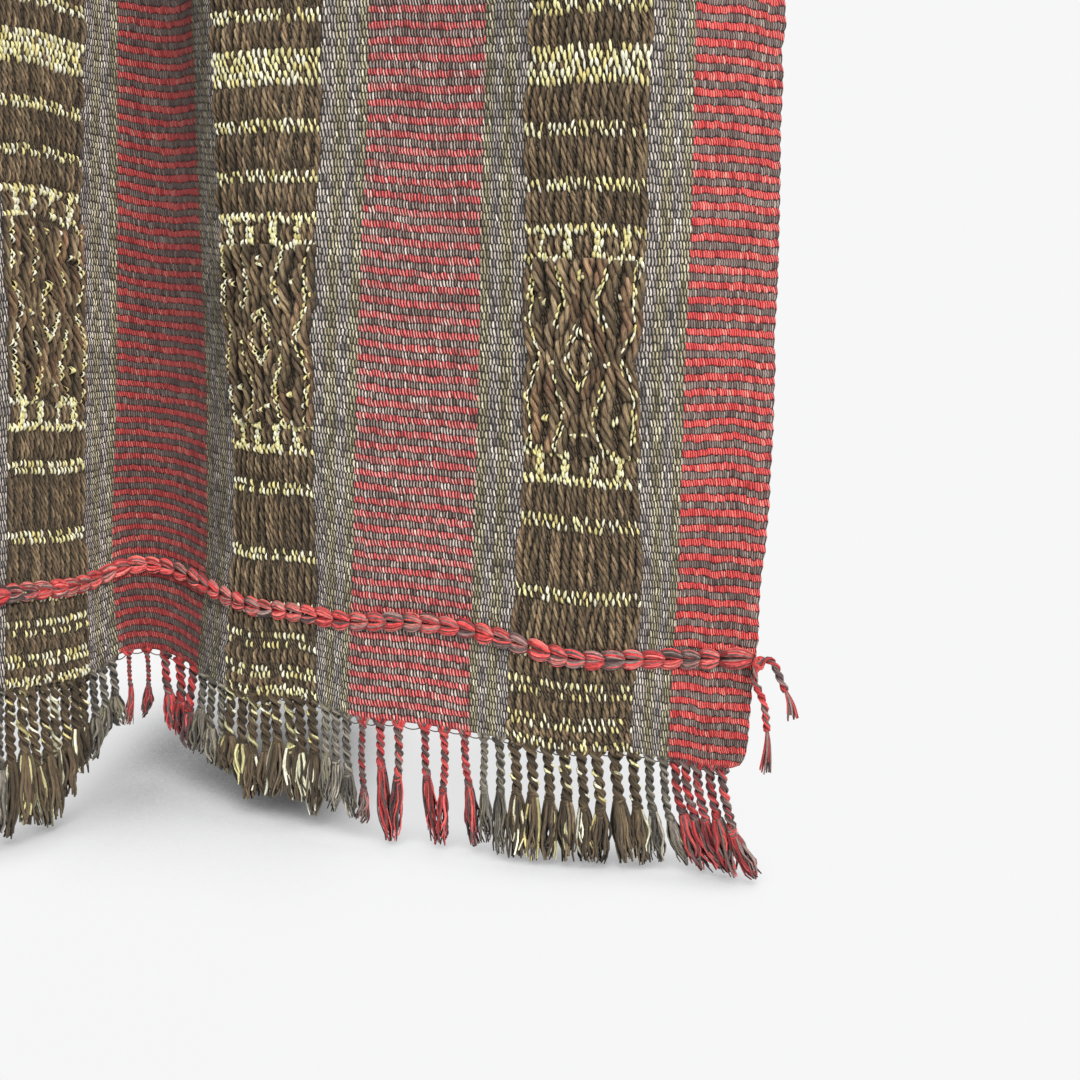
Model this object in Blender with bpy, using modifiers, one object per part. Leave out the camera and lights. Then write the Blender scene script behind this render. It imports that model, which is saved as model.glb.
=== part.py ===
"""Throw blanket: the lower corner length of a warp-faced woven throw, hanging in folds, with a knotted fringe.

Metres, +Z up. The front of the cloth faces -Y. The origin is the middle of the top edge, where the cloth is held.
The cloth is measured by u, along its width from the right selvedge, and by h, up its length from the bottom edge.
"""

import math
import random
from collections import namedtuple

import bmesh
import bpy
import numpy as np

MM = 0.001

# ---- driving dimensions ----
FLAT_WIDTH = 0.693  # selvedge to selvedge, laid flat
DROP = 0.720  # bottom edge to top edge at the right selvedge
THICK = 0.0024  # woven panel
COLUMNS = 64  # faces across the width
ROW_HEIGHTS_MM = (0, 6, 14, 28, 45, 66, 90, 118, 150, 185, 222, 262, 306, 354, 406, 462, 522, 586, 652, 720)
GAP = 0.0004  # between neighbouring pieces
CORNER_MM = 9.0  # rounding of the lower corners
FLOOR = -0.048  # height of the surface under the fringe, from the right end of the bottom edge

CORD_D = 0.0055  # twined cord
CORD_UP = 0.0430  # height of the twined cord over the bottom edge
KNOT_D = 0.0088
TAIL_D = 0.0036

TEETH = 48
TOOTH_SHARE = 0.60  # of the tooth pitch
FRINGE_T = 0.0040

# ---- folds: plan heading of the cloth as it runs from right to left, 0 is straight to the left, 90 is straight back ----
LEVELS = (0.0, 0.045, 0.108, 0.275, 0.720)  # heights of the columns hem, low, mid, high and top
Fold = namedtuple("Fold", "u_mm hem low mid high top rise_hem rise_high")
FOLDS = [
    Fold(0, 44, 34, 4, -18, -14, 0, 0),
    Fold(18, 32, 20, 0, -20, -17, -3, 0),
    Fold(36, 12, 2, -7, -19, -14, -3, 0),
    Fold(54, 2, 0, -3, -8, -5, -1, 0),
    Fold(72, 6, 9, 12, 12, 8, -1, 0),
    Fold(90, 9, 17, 20, 26, 20, 0, 0),
    Fold(108, 19, 18, 16, 26, 22, 2, 1),
    Fold(128, 14, 13, 13, 23, 20, 4, 2),
    Fold(150, 9, 10, 12, 23, 19, 5, 3),
    Fold(171, 19, 16, 11, 14, 12, 5, 4),
    Fold(189, 31, 25, 20, 7, 5, 8, 5),
    Fold(207, 25, 28, 32, 10, 7, 8, 5),
    Fold(225, 25, 33, 41, 25, 17, 6, 5),
    Fold(243, 35, 38, 38, 45, 34, 8, 4),
    Fold(261, 41, 38, 35, 57, 46, 11, 4),
    Fold(277, 26, 22, 23, 40, 38, 14, 4),
    Fold(291, -6, -4, 2, 9, 14, 16, 6),
    Fold(303, -40, -34, -28, -18, -12, 16, 9),
    Fold(316, -66, -63, -56, -50, -44, 13, 12),
    Fold(330, -66, -70, -71, -62, -56, 13, 14),
    Fold(350, -58, -62, -70, -67, -62, 16, 16),
    Fold(369, -60, -64, -68, -68, -58, 19, 16),
    Fold(387, -48, -46, -46, -46, -38, 20, 15),
    Fold(405, -8, -8, -8, -6, -6, 19, 13),
    Fold(423, 34, 32, 32, 28, 24, 16, 10),
    Fold(441, 58, 56, 54, 50, 42, 13, 8),
    Fold(462, 66, 64, 64, 60, 50, 11, 7),
    Fold(482, 54, 54, 56, 54, 48, 12, 8),
    Fold(502, 24, 26, 30, 34, 34, 15, 10),
    Fold(522, -8, -4, -2, 4, 8, 17, 11),
    Fold(545, -34, -30, -30, -24, -18, 15, 10),
    Fold(570, -38, -38, -40, -36, -30, 11, 8),
    Fold(595, -16, -18, -20, -22, -24, 8, 6),
    Fold(622, 10, 8, 4, 0, -4, 6, 4),
    Fold(650, 22, 22, 18, 14, 10, 5, 3),
    Fold(675, 10, 12, 14, 12, 12, 3, 1),
    Fold(693, -14, -8, 2, 4, 8, 0, 0),
]

# where the right selvedge runs
Edge = namedtuple("Edge", "h_mm right_mm back_mm")
EDGE = [
    Edge(0, 0.0, 0.0),
    Edge(22, 1.6, 5.0),
    Edge(45, 4.0, 10.0),
    Edge(108, 9.0, 24.0),
    Edge(212, 10.0, 36.0),
    Edge(275, 9.8, 41.0),
    Edge(500, 6.0, 47.0),
    Edge(720, 2.0, 50.0),
]

# how far the fringe hangs below the bottom edge and how far it leans to the front and to the right
Hang = namedtuple("Hang", "u_mm drop_mm front_mm right_mm")
HANGS = [
    Hang(0, 47, 13, 7),
    Hang(36, 45, 13, 6),
    Hang(60, 46, 12, 1),
    Hang(110, 49, 12, 1),
    Hang(150, 51, 11, 1),
    Hang(189, 53, 10, 0),
    Hang(215, 46, 9, -1),
    Hang(240, 41, 8, -1),
    Hang(262, 38, 6, -1),
    Hang(291, 36, 4, 0),
    Hang(312, 38, 5, 0),
    Hang(330, 48, 8, 0),
    Hang(350, 61, 9, -1),
    Hang(387, 66, 10, -1),
    Hang(423, 62, 10, 0),
    Hang(462, 48, 8, 0),
    Hang(502, 48, 6, 1),
    Hang(545, 57, 9, 0),
    Hang(595, 54, 11, 0),
    Hang(650, 51, 11, -2),
    Hang(693, 46, 11, -6),
]

FINE = 0.0015  # step at which the folds are worked out


def along(x, xs, ys):
    """Smooth curve through the rows of a table."""
    x, xs, ys = np.asarray(x, float), np.asarray(xs, float), np.asarray(ys, float)
    m = np.gradient(ys, xs)
    i = np.clip(np.searchsorted(xs, x, side="right") - 1, 0, len(xs) - 2)
    w = xs[i + 1] - xs[i]
    t = (x - xs[i]) / w
    t2, t3 = t * t, t * t * t
    return ys[i] * (2 * t3 - 3 * t2 + 1) + m[i] * w * (t3 - 2 * t2 + t) + ys[i + 1] * (3 * t2 - 2 * t3) + m[i + 1] * w * (t3 - t2)


def column(rows, name, scale=1.0):
    return np.array([getattr(r, name) for r in rows], float) * scale


FOLD_U = column(FOLDS, "u_mm", MM)
EDGE_H = column(EDGE, "h_mm", MM)
HANG_U = column(HANGS, "u_mm", MM)


def section(h):
    """The cloth's plan line at height h: fine steps of u, with x, y and z at each."""
    steps = int(round(FLAT_WIDTH / FINE))
    u = np.linspace(0.0, FLAT_WIDTH, steps + 1)
    cols = np.stack([along(u, FOLD_U, column(FOLDS, n)) for n in ("hem", "low", "mid", "high", "top")])
    lev = np.array(LEVELS)
    m = np.gradient(cols, lev, axis=0)
    i = int(np.clip(np.searchsorted(lev, h, side="right") - 1, 0, len(lev) - 2))
    w = lev[i + 1] - lev[i]
    t = (h - lev[i]) / w
    a = cols[i] * (2 * t**3 - 3 * t**2 + 1) + m[i] * w * (t**3 - 2 * t**2 + t) + cols[i + 1] * (3 * t**2 - 2 * t**3) + m[i + 1] * w * (t**3 - t**2)
    a = np.radians(a)
    mid = (a[1:] + a[:-1]) / 2
    du = u[1] - u[0]
    x = float(along(h, EDGE_H, column(EDGE, "right_mm", MM))) - np.concatenate([[0.0], np.cumsum(np.cos(mid)) * du])
    y = float(along(h, EDGE_H, column(EDGE, "back_mm", MM))) + np.concatenate([[0.0], np.cumsum(np.sin(mid)) * du])
    low = along(u, FOLD_U, column(FOLDS, "rise_hem", MM))
    high = along(u, FOLD_U, column(FOLDS, "rise_high", MM))
    s = min(max(h / 0.212, 0.0), 1.0)
    s = s * s * (3 - 2 * s)
    rise = (low * (1 - s) + high * s) * math.exp(-max(h - 0.212, 0.0) / 0.2)
    return u, x, y, h + rise


SECTIONS = {}


def raw_point(u, h):
    key = round(h, 6)
    if key not in SECTIONS:
        SECTIONS[key] = section(h)
    us, x, y, z = SECTIONS[key]
    return np.array([np.interp(u, us, x), np.interp(u, us, y), np.interp(u, us, z)])


ORIGIN = raw_point(FLAT_WIDTH / 2, DROP)


def point(u, h):
    """A point of the cloth's middle surface."""
    return raw_point(u, h) - ORIGIN


def facing(u, h):
    """Unit normal on the front of the cloth, kept on one side all along its folds."""
    d = 0.002
    left = point(min(u + d, FLAT_WIDTH), h) - point(max(u - d, 0.0), h)
    up = point(u, min(h + d, DROP)) - point(u, max(h - d, 0.0))
    n = np.cross(up, left)
    return n / np.linalg.norm(n)


def corner_inset(h_mm):
    """How far a lower corner is rounded in at this height."""
    if h_mm >= CORNER_MM:
        return 0.0
    t = 1 - h_mm / CORNER_MM
    return CORNER_MM * MM * (1 - math.sqrt(max(0.0, 1 - t * t))) * 0.75


# ---- scene ----
for ob in list(bpy.data.objects):
    bpy.data.objects.remove(ob, do_unlink=True)

parts = bpy.data.collections.new("throw_blanket")
bpy.context.scene.collection.children.link(parts)


def material(name, colour, rough):
    m = bpy.data.materials.new(name)
    m.use_nodes = True
    b = m.node_tree.nodes["Principled BSDF"]
    b.inputs["Base Color"].default_value = (*colour, 1.0)
    b.inputs["Roughness"].default_value = rough
    b.inputs["Metallic"].default_value = 0.0
    return m


def finish(ob, mat):
    for c in list(ob.users_collection):
        c.objects.unlink(ob)
    parts.objects.link(ob)
    ob.data.materials.clear()
    ob.data.materials.append(mat)
    return ob


def grid(nu, nv):
    """A flat unit grid, nu faces across and nv up."""
    bm = bmesh.new()
    bmesh.ops.create_grid(bm, x_segments=nu, y_segments=nv, size=0.5)
    return bm


def shell(name, bm, thick, mat):
    me = bpy.data.meshes.new(name)
    bmesh.ops.recalc_face_normals(bm, faces=bm.faces)
    bm.to_mesh(me)
    bm.free()
    ob = bpy.data.objects.new(name, me)
    parts.objects.link(ob)
    ob.data.materials.append(mat)
    mod = ob.modifiers.new("thickness", "SOLIDIFY")
    mod.thickness = thick
    mod.offset = 0.0
    mod.use_even_offset = True
    me.shade_smooth()
    return ob


# ---- the woven panel ----
def make_cloth(mat):
    bm = grid(COLUMNS, len(ROW_HEIGHTS_MM) - 1)
    for v in bm.verts:
        i = round((v.co.x + 0.5) * COLUMNS)
        j = round((v.co.y + 0.5) * (len(ROW_HEIGHTS_MM) - 1))
        h_mm = ROW_HEIGHTS_MM[j]
        inset = corner_inset(h_mm)
        u = FLAT_WIDTH * i / COLUMNS
        u = min(max(u, inset), FLAT_WIDTH - inset)
        v.co = point(u, h_mm * MM)
    return shell("cloth", bm, THICK, mat)


# ---- the fringe comb ----
def fringe_point(u, t):
    """A point of the fringe: t is 0 at the roots, 1 at the tips."""
    root = point(u, 0.0)
    down = point(u, 0.006) - root
    down = -down / np.linalg.norm(down)
    start = root + down * (GAP + THICK * 0.08)
    drop = float(along(u, HANG_U, column(HANGS, "drop_mm", MM)))
    lean = float(along(u, HANG_U, column(HANGS, "front_mm", MM)))
    right = float(along(u, HANG_U, column(HANGS, "right_mm", MM)))
    tip = root + np.array([right, -lean, -drop])
    tip[2] = max(tip[2], FLOOR - ORIGIN[2] + 0.0005)
    bend = start + down * (drop * 0.45)
    return (1 - t) ** 2 * start + 2 * t * (1 - t) * bend + t * t * tip


def make_fringe(mat):
    rng = random.Random(7)
    rows = 4
    pitch = (FLAT_WIDTH - 2 * CORNER_MM * MM * 0.75) / TEETH
    first = CORNER_MM * MM * 0.75
    shifts = [rng.uniform(-0.0012, 0.0012) for _ in range(TEETH)]
    shorter = [rng.uniform(0.0, 0.07) for _ in range(TEETH)]
    bm = grid(TEETH * 2 - 1, rows)
    heads = (0.0, 0.10, 0.42, 0.72, 1.0)  # shares of the drop: the band at the roots, then the twisted part, the knot and the tassel
    widths = (1.0, 1.0, 0.62, 0.72, 1.0)
    for f in [f for f in bm.faces if round((f.calc_center_median().x + 0.5) * (TEETH * 2 - 1) - 0.5) % 2 == 1 and f.calc_center_median().y < 0.5 - 1.0 / rows]:
        bm.faces.remove(f)
    for v in list(bm.verts):
        if not v.link_faces:
            bm.verts.remove(v)
    for e in [e for e in bm.edges if not e.link_faces]:
        bm.edges.remove(e)
    for v in bm.verts:
        i = round((v.co.x + 0.5) * (TEETH * 2 - 1))
        j = rows - round((v.co.y + 0.5) * rows)
        tooth, side = divmod(i, 2)
        t = heads[j]
        centre = first + pitch * (tooth + 0.5)
        half = pitch * TOOTH_SHARE / 2
        if j <= 1:
            u = centre + (half if side else -half)
            if j == 0 and tooth == 0 and side == 0:
                u = first
            if j == 0 and tooth == TEETH - 1 and side == 1:
                u = FLAT_WIDTH - first
            v.co = fringe_point(u, t)
        else:
            c = fringe_point(centre + shifts[tooth] * t, t * (1 - shorter[tooth]))
            d = fringe_point(min(centre + 0.002, FLAT_WIDTH), t) - fringe_point(max(centre - 0.002, 0.0), t)
            d = d / np.linalg.norm(d)
            v.co = c + d * (half * widths[j] if side else -half * widths[j])
    return shell("fringe", bm, FRINGE_T, mat)


# ---- the twined cord and its two tails ----
def tube(name, pts, radii, diameter, mat, sides=2):
    cu = bpy.data.curves.new(name, "CURVE")
    cu.dimensions = "3D"
    cu.bevel_depth = diameter / 2
    cu.bevel_resolution = sides
    cu.use_fill_caps = True
    sp = cu.splines.new("POLY")
    sp.points.add(len(pts) - 1)
    for p, q, r in zip(sp.points, pts, radii):
        p.co = (*q, 1.0)
        p.radius = r
    ob = bpy.data.objects.new(name, cu)
    parts.objects.link(ob)
    cu.materials.append(mat)
    return ob


def cord_line():
    """The cord's line over the front of the cloth, right to left, with a knot just past each selvedge."""
    off = THICK / 2 + CORD_D / 2 + GAP + 0.0002
    pts, radii = [], []
    knot_r = KNOT_D / CORD_D
    right = point(0.0, CORD_UP) + facing(0.0, CORD_UP) * (THICK / 2 + KNOT_D / 2 + GAP)
    for du, r in ((-0.0040, 0.55), (-0.0028, 0.9), (-0.0006, 1.0), (0.0016, 0.95)):
        pts.append(right + np.array([-du, 0, 0]) * 1.0)
        radii.append(knot_r * r)
    for i in range(1, COLUMNS):
        u = FLAT_WIDTH * i / COLUMNS
        pts.append(point(u, CORD_UP) + facing(u, CORD_UP) * off)
        radii.append(1.0)
    left = point(FLAT_WIDTH, CORD_UP) + facing(FLAT_WIDTH, CORD_UP) * (THICK / 2 + KNOT_D / 2 + GAP)
    for du, r in ((-0.0014, 0.95), (0.0012, 1.0), (0.0038, 0.9), (0.0052, 0.55)):
        pts.append(left + np.array([-du, 0, 0]) * 1.0)
        radii.append(knot_r * r)
    return pts, radii


def smooth_path(rows, n):
    """A smooth path through hand-set points, n points long."""
    rows = np.array(rows, float)
    s = np.concatenate([[0.0], np.cumsum(np.linalg.norm(np.diff(rows, axis=0), axis=1))])
    t = np.linspace(0, s[-1], n)
    return np.stack([along(t, s, rows[:, k]) for k in range(3)], axis=1)


# right, front and up from the selvedge at the cord, mm
TailPoint = namedtuple("TailPoint", "right front up")
UPPER_TAIL = [TailPoint(6.4, 6.2, 1.4), TailPoint(7.8, 7.0, -2.4), TailPoint(9.5, 7.8, -6.6), TailPoint(11.6, 8.6, -11.0), TailPoint(13.6, 9.2, -16.4), TailPoint(14.7, 9.4, -23.0)]
LOWER_TAIL = [TailPoint(0.2, 5.7, -6.8), TailPoint(1.4, 6.4, -11.4), TailPoint(3.2, 7.0, -16.4), TailPoint(4.2, 8.0, -23.6), TailPoint(4.9, 8.8, -31.0), TailPoint(4.7, 9.4, -39.0), TailPoint(4.3, 9.6, -44.0)]


def tail(name, rows, mat):
    base = point(0.0, CORD_UP)
    pts = smooth_path([(base[0] + r.right * MM, base[1] - r.front * MM, base[2] + r.up * MM) for r in rows], 8)
    return tube(name, pts, [1.0, 1.0, 1.0, 1.0, 1.05, 1.1, 1.0, 0.8], TAIL_D, mat)


make_cloth(material("warp_faced_weave", (0.20, 0.10, 0.08), 0.92))
make_fringe(material("fringe_yarn", (0.16, 0.08, 0.06), 0.92))
pts, radii = cord_line()
red = material("twined_yarn", (0.55, 0.10, 0.09), 0.9)
tube("twined_cord", pts, radii, CORD_D, red)
tail("cord_tail_upper", UPPER_TAIL, material("tail_yarn", (0.40, 0.10, 0.09), 0.9))
tail("cord_tail_lower", LOWER_TAIL, material("tail_yarn_low", (0.45, 0.10, 0.09), 0.9))
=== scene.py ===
"""Throw blanket: the look of the hanging length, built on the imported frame.

The woven panel is placed by s, millimetres across the flat cloth from the right selvedge, by t, millimetres up from the
bottom edge, and by w, millimetres out of the cloth's middle towards the front.
"""

import math
from collections import namedtuple

import bpy
import numpy as np
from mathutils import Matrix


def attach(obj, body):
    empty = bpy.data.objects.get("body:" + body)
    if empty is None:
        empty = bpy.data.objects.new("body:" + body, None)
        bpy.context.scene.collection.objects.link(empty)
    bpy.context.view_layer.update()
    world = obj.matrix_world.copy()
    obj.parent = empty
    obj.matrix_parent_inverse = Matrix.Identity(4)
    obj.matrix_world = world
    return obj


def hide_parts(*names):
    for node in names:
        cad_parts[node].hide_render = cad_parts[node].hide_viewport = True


MM = 0.001
RNG = np.random.default_rng(1207)

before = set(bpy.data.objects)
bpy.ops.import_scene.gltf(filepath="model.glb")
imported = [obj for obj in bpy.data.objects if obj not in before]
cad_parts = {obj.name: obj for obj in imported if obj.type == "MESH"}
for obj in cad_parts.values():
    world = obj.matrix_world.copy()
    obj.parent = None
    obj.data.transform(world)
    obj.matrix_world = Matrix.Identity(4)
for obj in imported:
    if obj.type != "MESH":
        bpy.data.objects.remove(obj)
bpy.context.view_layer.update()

# ------------------------------------------------------------------ the folds of the cloth, as its solid has them
FLAT_WIDTH = 0.693
DROP = 0.720
FLOOR_Z = -0.769245
LEVELS = (0.0, 0.045, 0.108, 0.275, 0.720)
Fold = namedtuple("Fold", "u_mm hem low mid high top rise_hem rise_high")
FOLDS = [
    Fold(0, 44, 34, 4, -18, -14, 0, 0),
    Fold(18, 32, 20, 0, -20, -17, -3, 0),
    Fold(36, 12, 2, -7, -19, -14, -3, 0),
    Fold(54, 2, 0, -3, -8, -5, -1, 0),
    Fold(72, 6, 9, 12, 12, 8, -1, 0),
    Fold(90, 9, 17, 20, 26, 20, 0, 0),
    Fold(108, 19, 18, 16, 26, 22, 2, 1),
    Fold(128, 14, 13, 13, 23, 20, 4, 2),
    Fold(150, 9, 10, 12, 23, 19, 5, 3),
    Fold(171, 19, 16, 11, 14, 12, 5, 4),
    Fold(189, 31, 25, 20, 7, 5, 8, 5),
    Fold(207, 25, 28, 32, 10, 7, 8, 5),
    Fold(225, 25, 33, 41, 25, 17, 6, 5),
    Fold(243, 35, 38, 38, 45, 34, 8, 4),
    Fold(261, 41, 38, 35, 57, 46, 11, 4),
    Fold(277, 26, 22, 23, 40, 38, 14, 4),
    Fold(291, -6, -4, 2, 9, 14, 16, 6),
    Fold(303, -40, -34, -28, -18, -12, 16, 9),
    Fold(316, -66, -63, -56, -50, -44, 13, 12),
    Fold(330, -66, -70, -71, -62, -56, 13, 14),
    Fold(350, -58, -62, -70, -67, -62, 16, 16),
    Fold(369, -60, -64, -68, -68, -58, 19, 16),
    Fold(387, -48, -46, -46, -46, -38, 20, 15),
    Fold(405, -8, -8, -8, -6, -6, 19, 13),
    Fold(423, 34, 32, 32, 28, 24, 16, 10),
    Fold(441, 58, 56, 54, 50, 42, 13, 8),
    Fold(462, 66, 64, 64, 60, 50, 11, 7),
    Fold(482, 54, 54, 56, 54, 48, 12, 8),
    Fold(502, 24, 26, 30, 34, 34, 15, 10),
    Fold(522, -8, -4, -2, 4, 8, 17, 11),
    Fold(545, -34, -30, -30, -24, -18, 15, 10),
    Fold(570, -38, -38, -40, -36, -30, 11, 8),
    Fold(595, -16, -18, -20, -22, -24, 8, 6),
    Fold(622, 10, 8, 4, 0, -4, 6, 4),
    Fold(650, 22, 22, 18, 14, 10, 5, 3),
    Fold(675, 10, 12, 14, 12, 12, 3, 1),
    Fold(693, -14, -8, 2, 4, 8, 0, 0),
]
Edge = namedtuple("Edge", "h_mm right_mm back_mm")
EDGE = [
    Edge(0, 0.0, 0.0),
    Edge(22, 1.6, 5.0),
    Edge(45, 4.0, 10.0),
    Edge(108, 9.0, 24.0),
    Edge(212, 10.0, 36.0),
    Edge(275, 9.8, 41.0),
    Edge(500, 6.0, 47.0),
    Edge(720, 2.0, 50.0),
]
Hang = namedtuple("Hang", "u_mm drop_mm front_mm right_mm")
HANGS = [
    Hang(0, 47, 13, 7),
    Hang(36, 45, 13, 6),
    Hang(60, 46, 12, 1),
    Hang(110, 49, 12, 1),
    Hang(150, 51, 11, 1),
    Hang(189, 53, 10, 0),
    Hang(215, 46, 9, -1),
    Hang(240, 41, 8, -1),
    Hang(262, 38, 6, -1),
    Hang(291, 36, 4, 0),
    Hang(312, 38, 5, 0),
    Hang(330, 48, 8, 0),
    Hang(350, 61, 9, -1),
    Hang(387, 66, 10, -1),
    Hang(423, 62, 10, 0),
    Hang(462, 48, 8, 0),
    Hang(502, 48, 6, 1),
    Hang(545, 57, 9, 0),
    Hang(595, 54, 11, 0),
    Hang(650, 51, 11, -2),
    Hang(693, 46, 11, -6),
]
CORNER_MM = 9.0
CORD_UP = 0.0430


def along(x, xs, ys):
    """Smooth curve through the rows of a table."""
    x, xs, ys = np.asarray(x, float), np.asarray(xs, float), np.asarray(ys, float)
    m = np.gradient(ys, xs)
    i = np.clip(np.searchsorted(xs, x, side="right") - 1, 0, len(xs) - 2)
    w = xs[i + 1] - xs[i]
    t = (x - xs[i]) / w
    t2, t3 = t * t, t * t * t
    return ys[i] * (2 * t3 - 3 * t2 + 1) + m[i] * w * (t3 - 2 * t2 + t) + ys[i + 1] * (3 * t2 - 2 * t3) + m[i + 1] * w * (t3 - t2)


def column(rows, name, scale=1.0):
    return np.array([getattr(r, name) for r in rows], float) * scale


def smooth(x, a, b):
    x = np.clip((np.asarray(x, float) - a) / (b - a), 0.0, 1.0)
    return x * x * (3 - 2 * x)


def unit(v):
    return v / np.maximum(np.linalg.norm(v, axis=-1, keepdims=True), 1e-12)


NU, NH = 463, 361


def surface():
    """The middle surface of the hanging cloth on a fine grid, and its front normals."""
    us, hs = np.linspace(0, FLAT_WIDTH, NU), np.linspace(0, DROP, NH)
    fu = column(FOLDS, "u_mm", MM)
    cols = np.stack([along(us, fu, column(FOLDS, n)) for n in ("hem", "low", "mid", "high", "top")])
    lev = np.array(LEVELS)
    m = np.gradient(cols, lev, axis=0)
    i = np.clip(np.searchsorted(lev, hs, side="right") - 1, 0, len(lev) - 2)
    w = lev[i + 1] - lev[i]
    t = (hs - lev[i]) / w
    a, b = 2 * t**3 - 3 * t**2 + 1, t**3 - 2 * t**2 + t
    c, d = 3 * t**2 - 2 * t**3, t**3 - t**2
    ang = np.radians(cols[i].T * a + m[i].T * w * b + cols[i + 1].T * c + m[i + 1].T * w * d)
    mid, du = (ang[1:] + ang[:-1]) / 2, us[1]
    x, y = np.zeros((NU, NH)), np.zeros((NU, NH))
    x[1:] = -np.cumsum(np.cos(mid), axis=0) * du
    y[1:] = np.cumsum(np.sin(mid), axis=0) * du
    eh = column(EDGE, "h_mm", MM)
    x += along(hs, eh, column(EDGE, "right_mm", MM))[None, :]
    y += along(hs, eh, column(EDGE, "back_mm", MM))[None, :]
    s = smooth(hs, 0.0, 0.212)[None, :]
    rise = along(us, fu, column(FOLDS, "rise_hem", MM))[:, None] * (1 - s) + along(us, fu, column(FOLDS, "rise_high", MM))[:, None] * s
    z = hs[None, :] + rise * np.exp(-np.maximum(hs - 0.212, 0.0) / 0.2)[None, :]
    g = np.stack([x, y, z], axis=2)
    g -= g[(NU - 1) // 2, NH - 1]
    left, up = np.gradient(g, axis=0), np.gradient(g, axis=1)
    return g, unit(np.cross(up, left))


GRID, FRONT = surface()


def place(u, h, w=0.0):
    """Points at u and h metres on the cloth and w metres in front of its middle."""
    u, h, w = np.broadcast_arrays(np.asarray(u, float), np.asarray(h, float), np.asarray(w, float))
    x, y = u / FLAT_WIDTH * (NU - 1), h / DROP * (NH - 1)
    i = np.clip(np.floor(x), 0, NU - 2).astype(int)
    j = np.clip(np.floor(y), 0, NH - 2).astype(int)
    fx, fy = (x - i)[..., None], (y - j)[..., None]
    p = (GRID[i, j] * (1 - fx) + GRID[i + 1, j] * fx) * (1 - fy) + (GRID[i, j + 1] * (1 - fx) + GRID[i + 1, j + 1] * fx) * fy
    fx, fy = np.clip(fx, 0, 1), np.clip(fy, 0, 1)
    n = (FRONT[i, j] * (1 - fx) + FRONT[i + 1, j] * fx) * (1 - fy) + (FRONT[i, j + 1] * (1 - fx) + FRONT[i + 1, j + 1] * fx) * fy
    return p + unit(n) * w[..., None]


# ------------------------------------------------------------------ the stripes across the cloth
BOUNDS = np.array([0, 36, 54, 102, 120, 171, 189, 237, 255, 303, 321, 369, 387, 438, 456, 504, 522, 573, 591, 639, 657, 693], float)
# the stripes between them: red, grey, brown, grey and again, so stripe 0, 4, 8... is red and 2, 6, 10... brown
DRIFT_T = np.array([0, 20, 44, 75, 108, 160, 212, 245, 275, 298], float)
# how far each stripe's edge has been pulled to the left at those heights, in mm
DRIFT = {
    1: (-1.7, -2.1, -1.7, -2.1, -0.4, 1.2, 0.4, 0.8, 1.2, 1.6),
    2: (-4.5, -4.2, -5.0, -5.4, -1.2, 2.5, 0.0, 0.4, 0.0, -0.4),
    3: (-0.4, -0.4, -0.4, -2.0, -2.5, -2.0, -0.8, 0.8, -1.2, -1.2),
    4: (-1.0, -1.0, -0.5, -0.5, 0.0, 0.4, 0.4, 0.0, -0.5, -0.5),
    5: (2.5, 1.7, 1.7, 0.4, 0.8, 0.8, 0.0, -0.8, -0.8, -1.2),
    6: (0.8, 0.0, 0.0, 0.4, 1.8, 3.6, 1.8, 0.9, 0.9, 0.0),
    7: (3.5, 2.0, 1.0, -0.5, 0.0, 3.8, 2.8, 2.8, 2.8, 1.0),
    8: (6.0, 3.0, 1.5, 0.5, 1.5, 1.5, 1.0, 2.0, 2.0, 2.0),
    9: (1.5, 3.0, 4.5, 3.5, 2.2, 1.3, 1.3, 2.2, 2.2, 1.3),
    10: (3.0, 2.0, 2.5, 2.0, 1.0, -0.5, 1.0, 1.5, 0.0, -1.5),
}
LATTICES = (161.0, 375.0, 589.0)  # heights of the middles of the lattice fields
LATTICE_HALF = 48.5


def drift_table():
    t = np.linspace(0, 720, 145)
    out = np.zeros((len(BOUNDS), len(t)))
    for k in range(len(BOUNDS)):
        if k in DRIFT:
            out[k] = np.interp(t, DRIFT_T, DRIFT[k]) * (1 - smooth(t, 300, 345))
        pull = {2: 1.8, 3: -1.8}.get(k % 4, 0.0)
        for c in LATTICES[1:] if k in DRIFT else LATTICES:
            out[k] += pull * smooth(LATTICE_HALF + 6 - np.abs(t - c), 0, 14)
    return out


DRIFTS = drift_table()


def stripe_of(s):
    """Stripe number plus the share of the way across it."""
    return np.interp(s, BOUNDS, np.arange(len(BOUNDS)))


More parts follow.
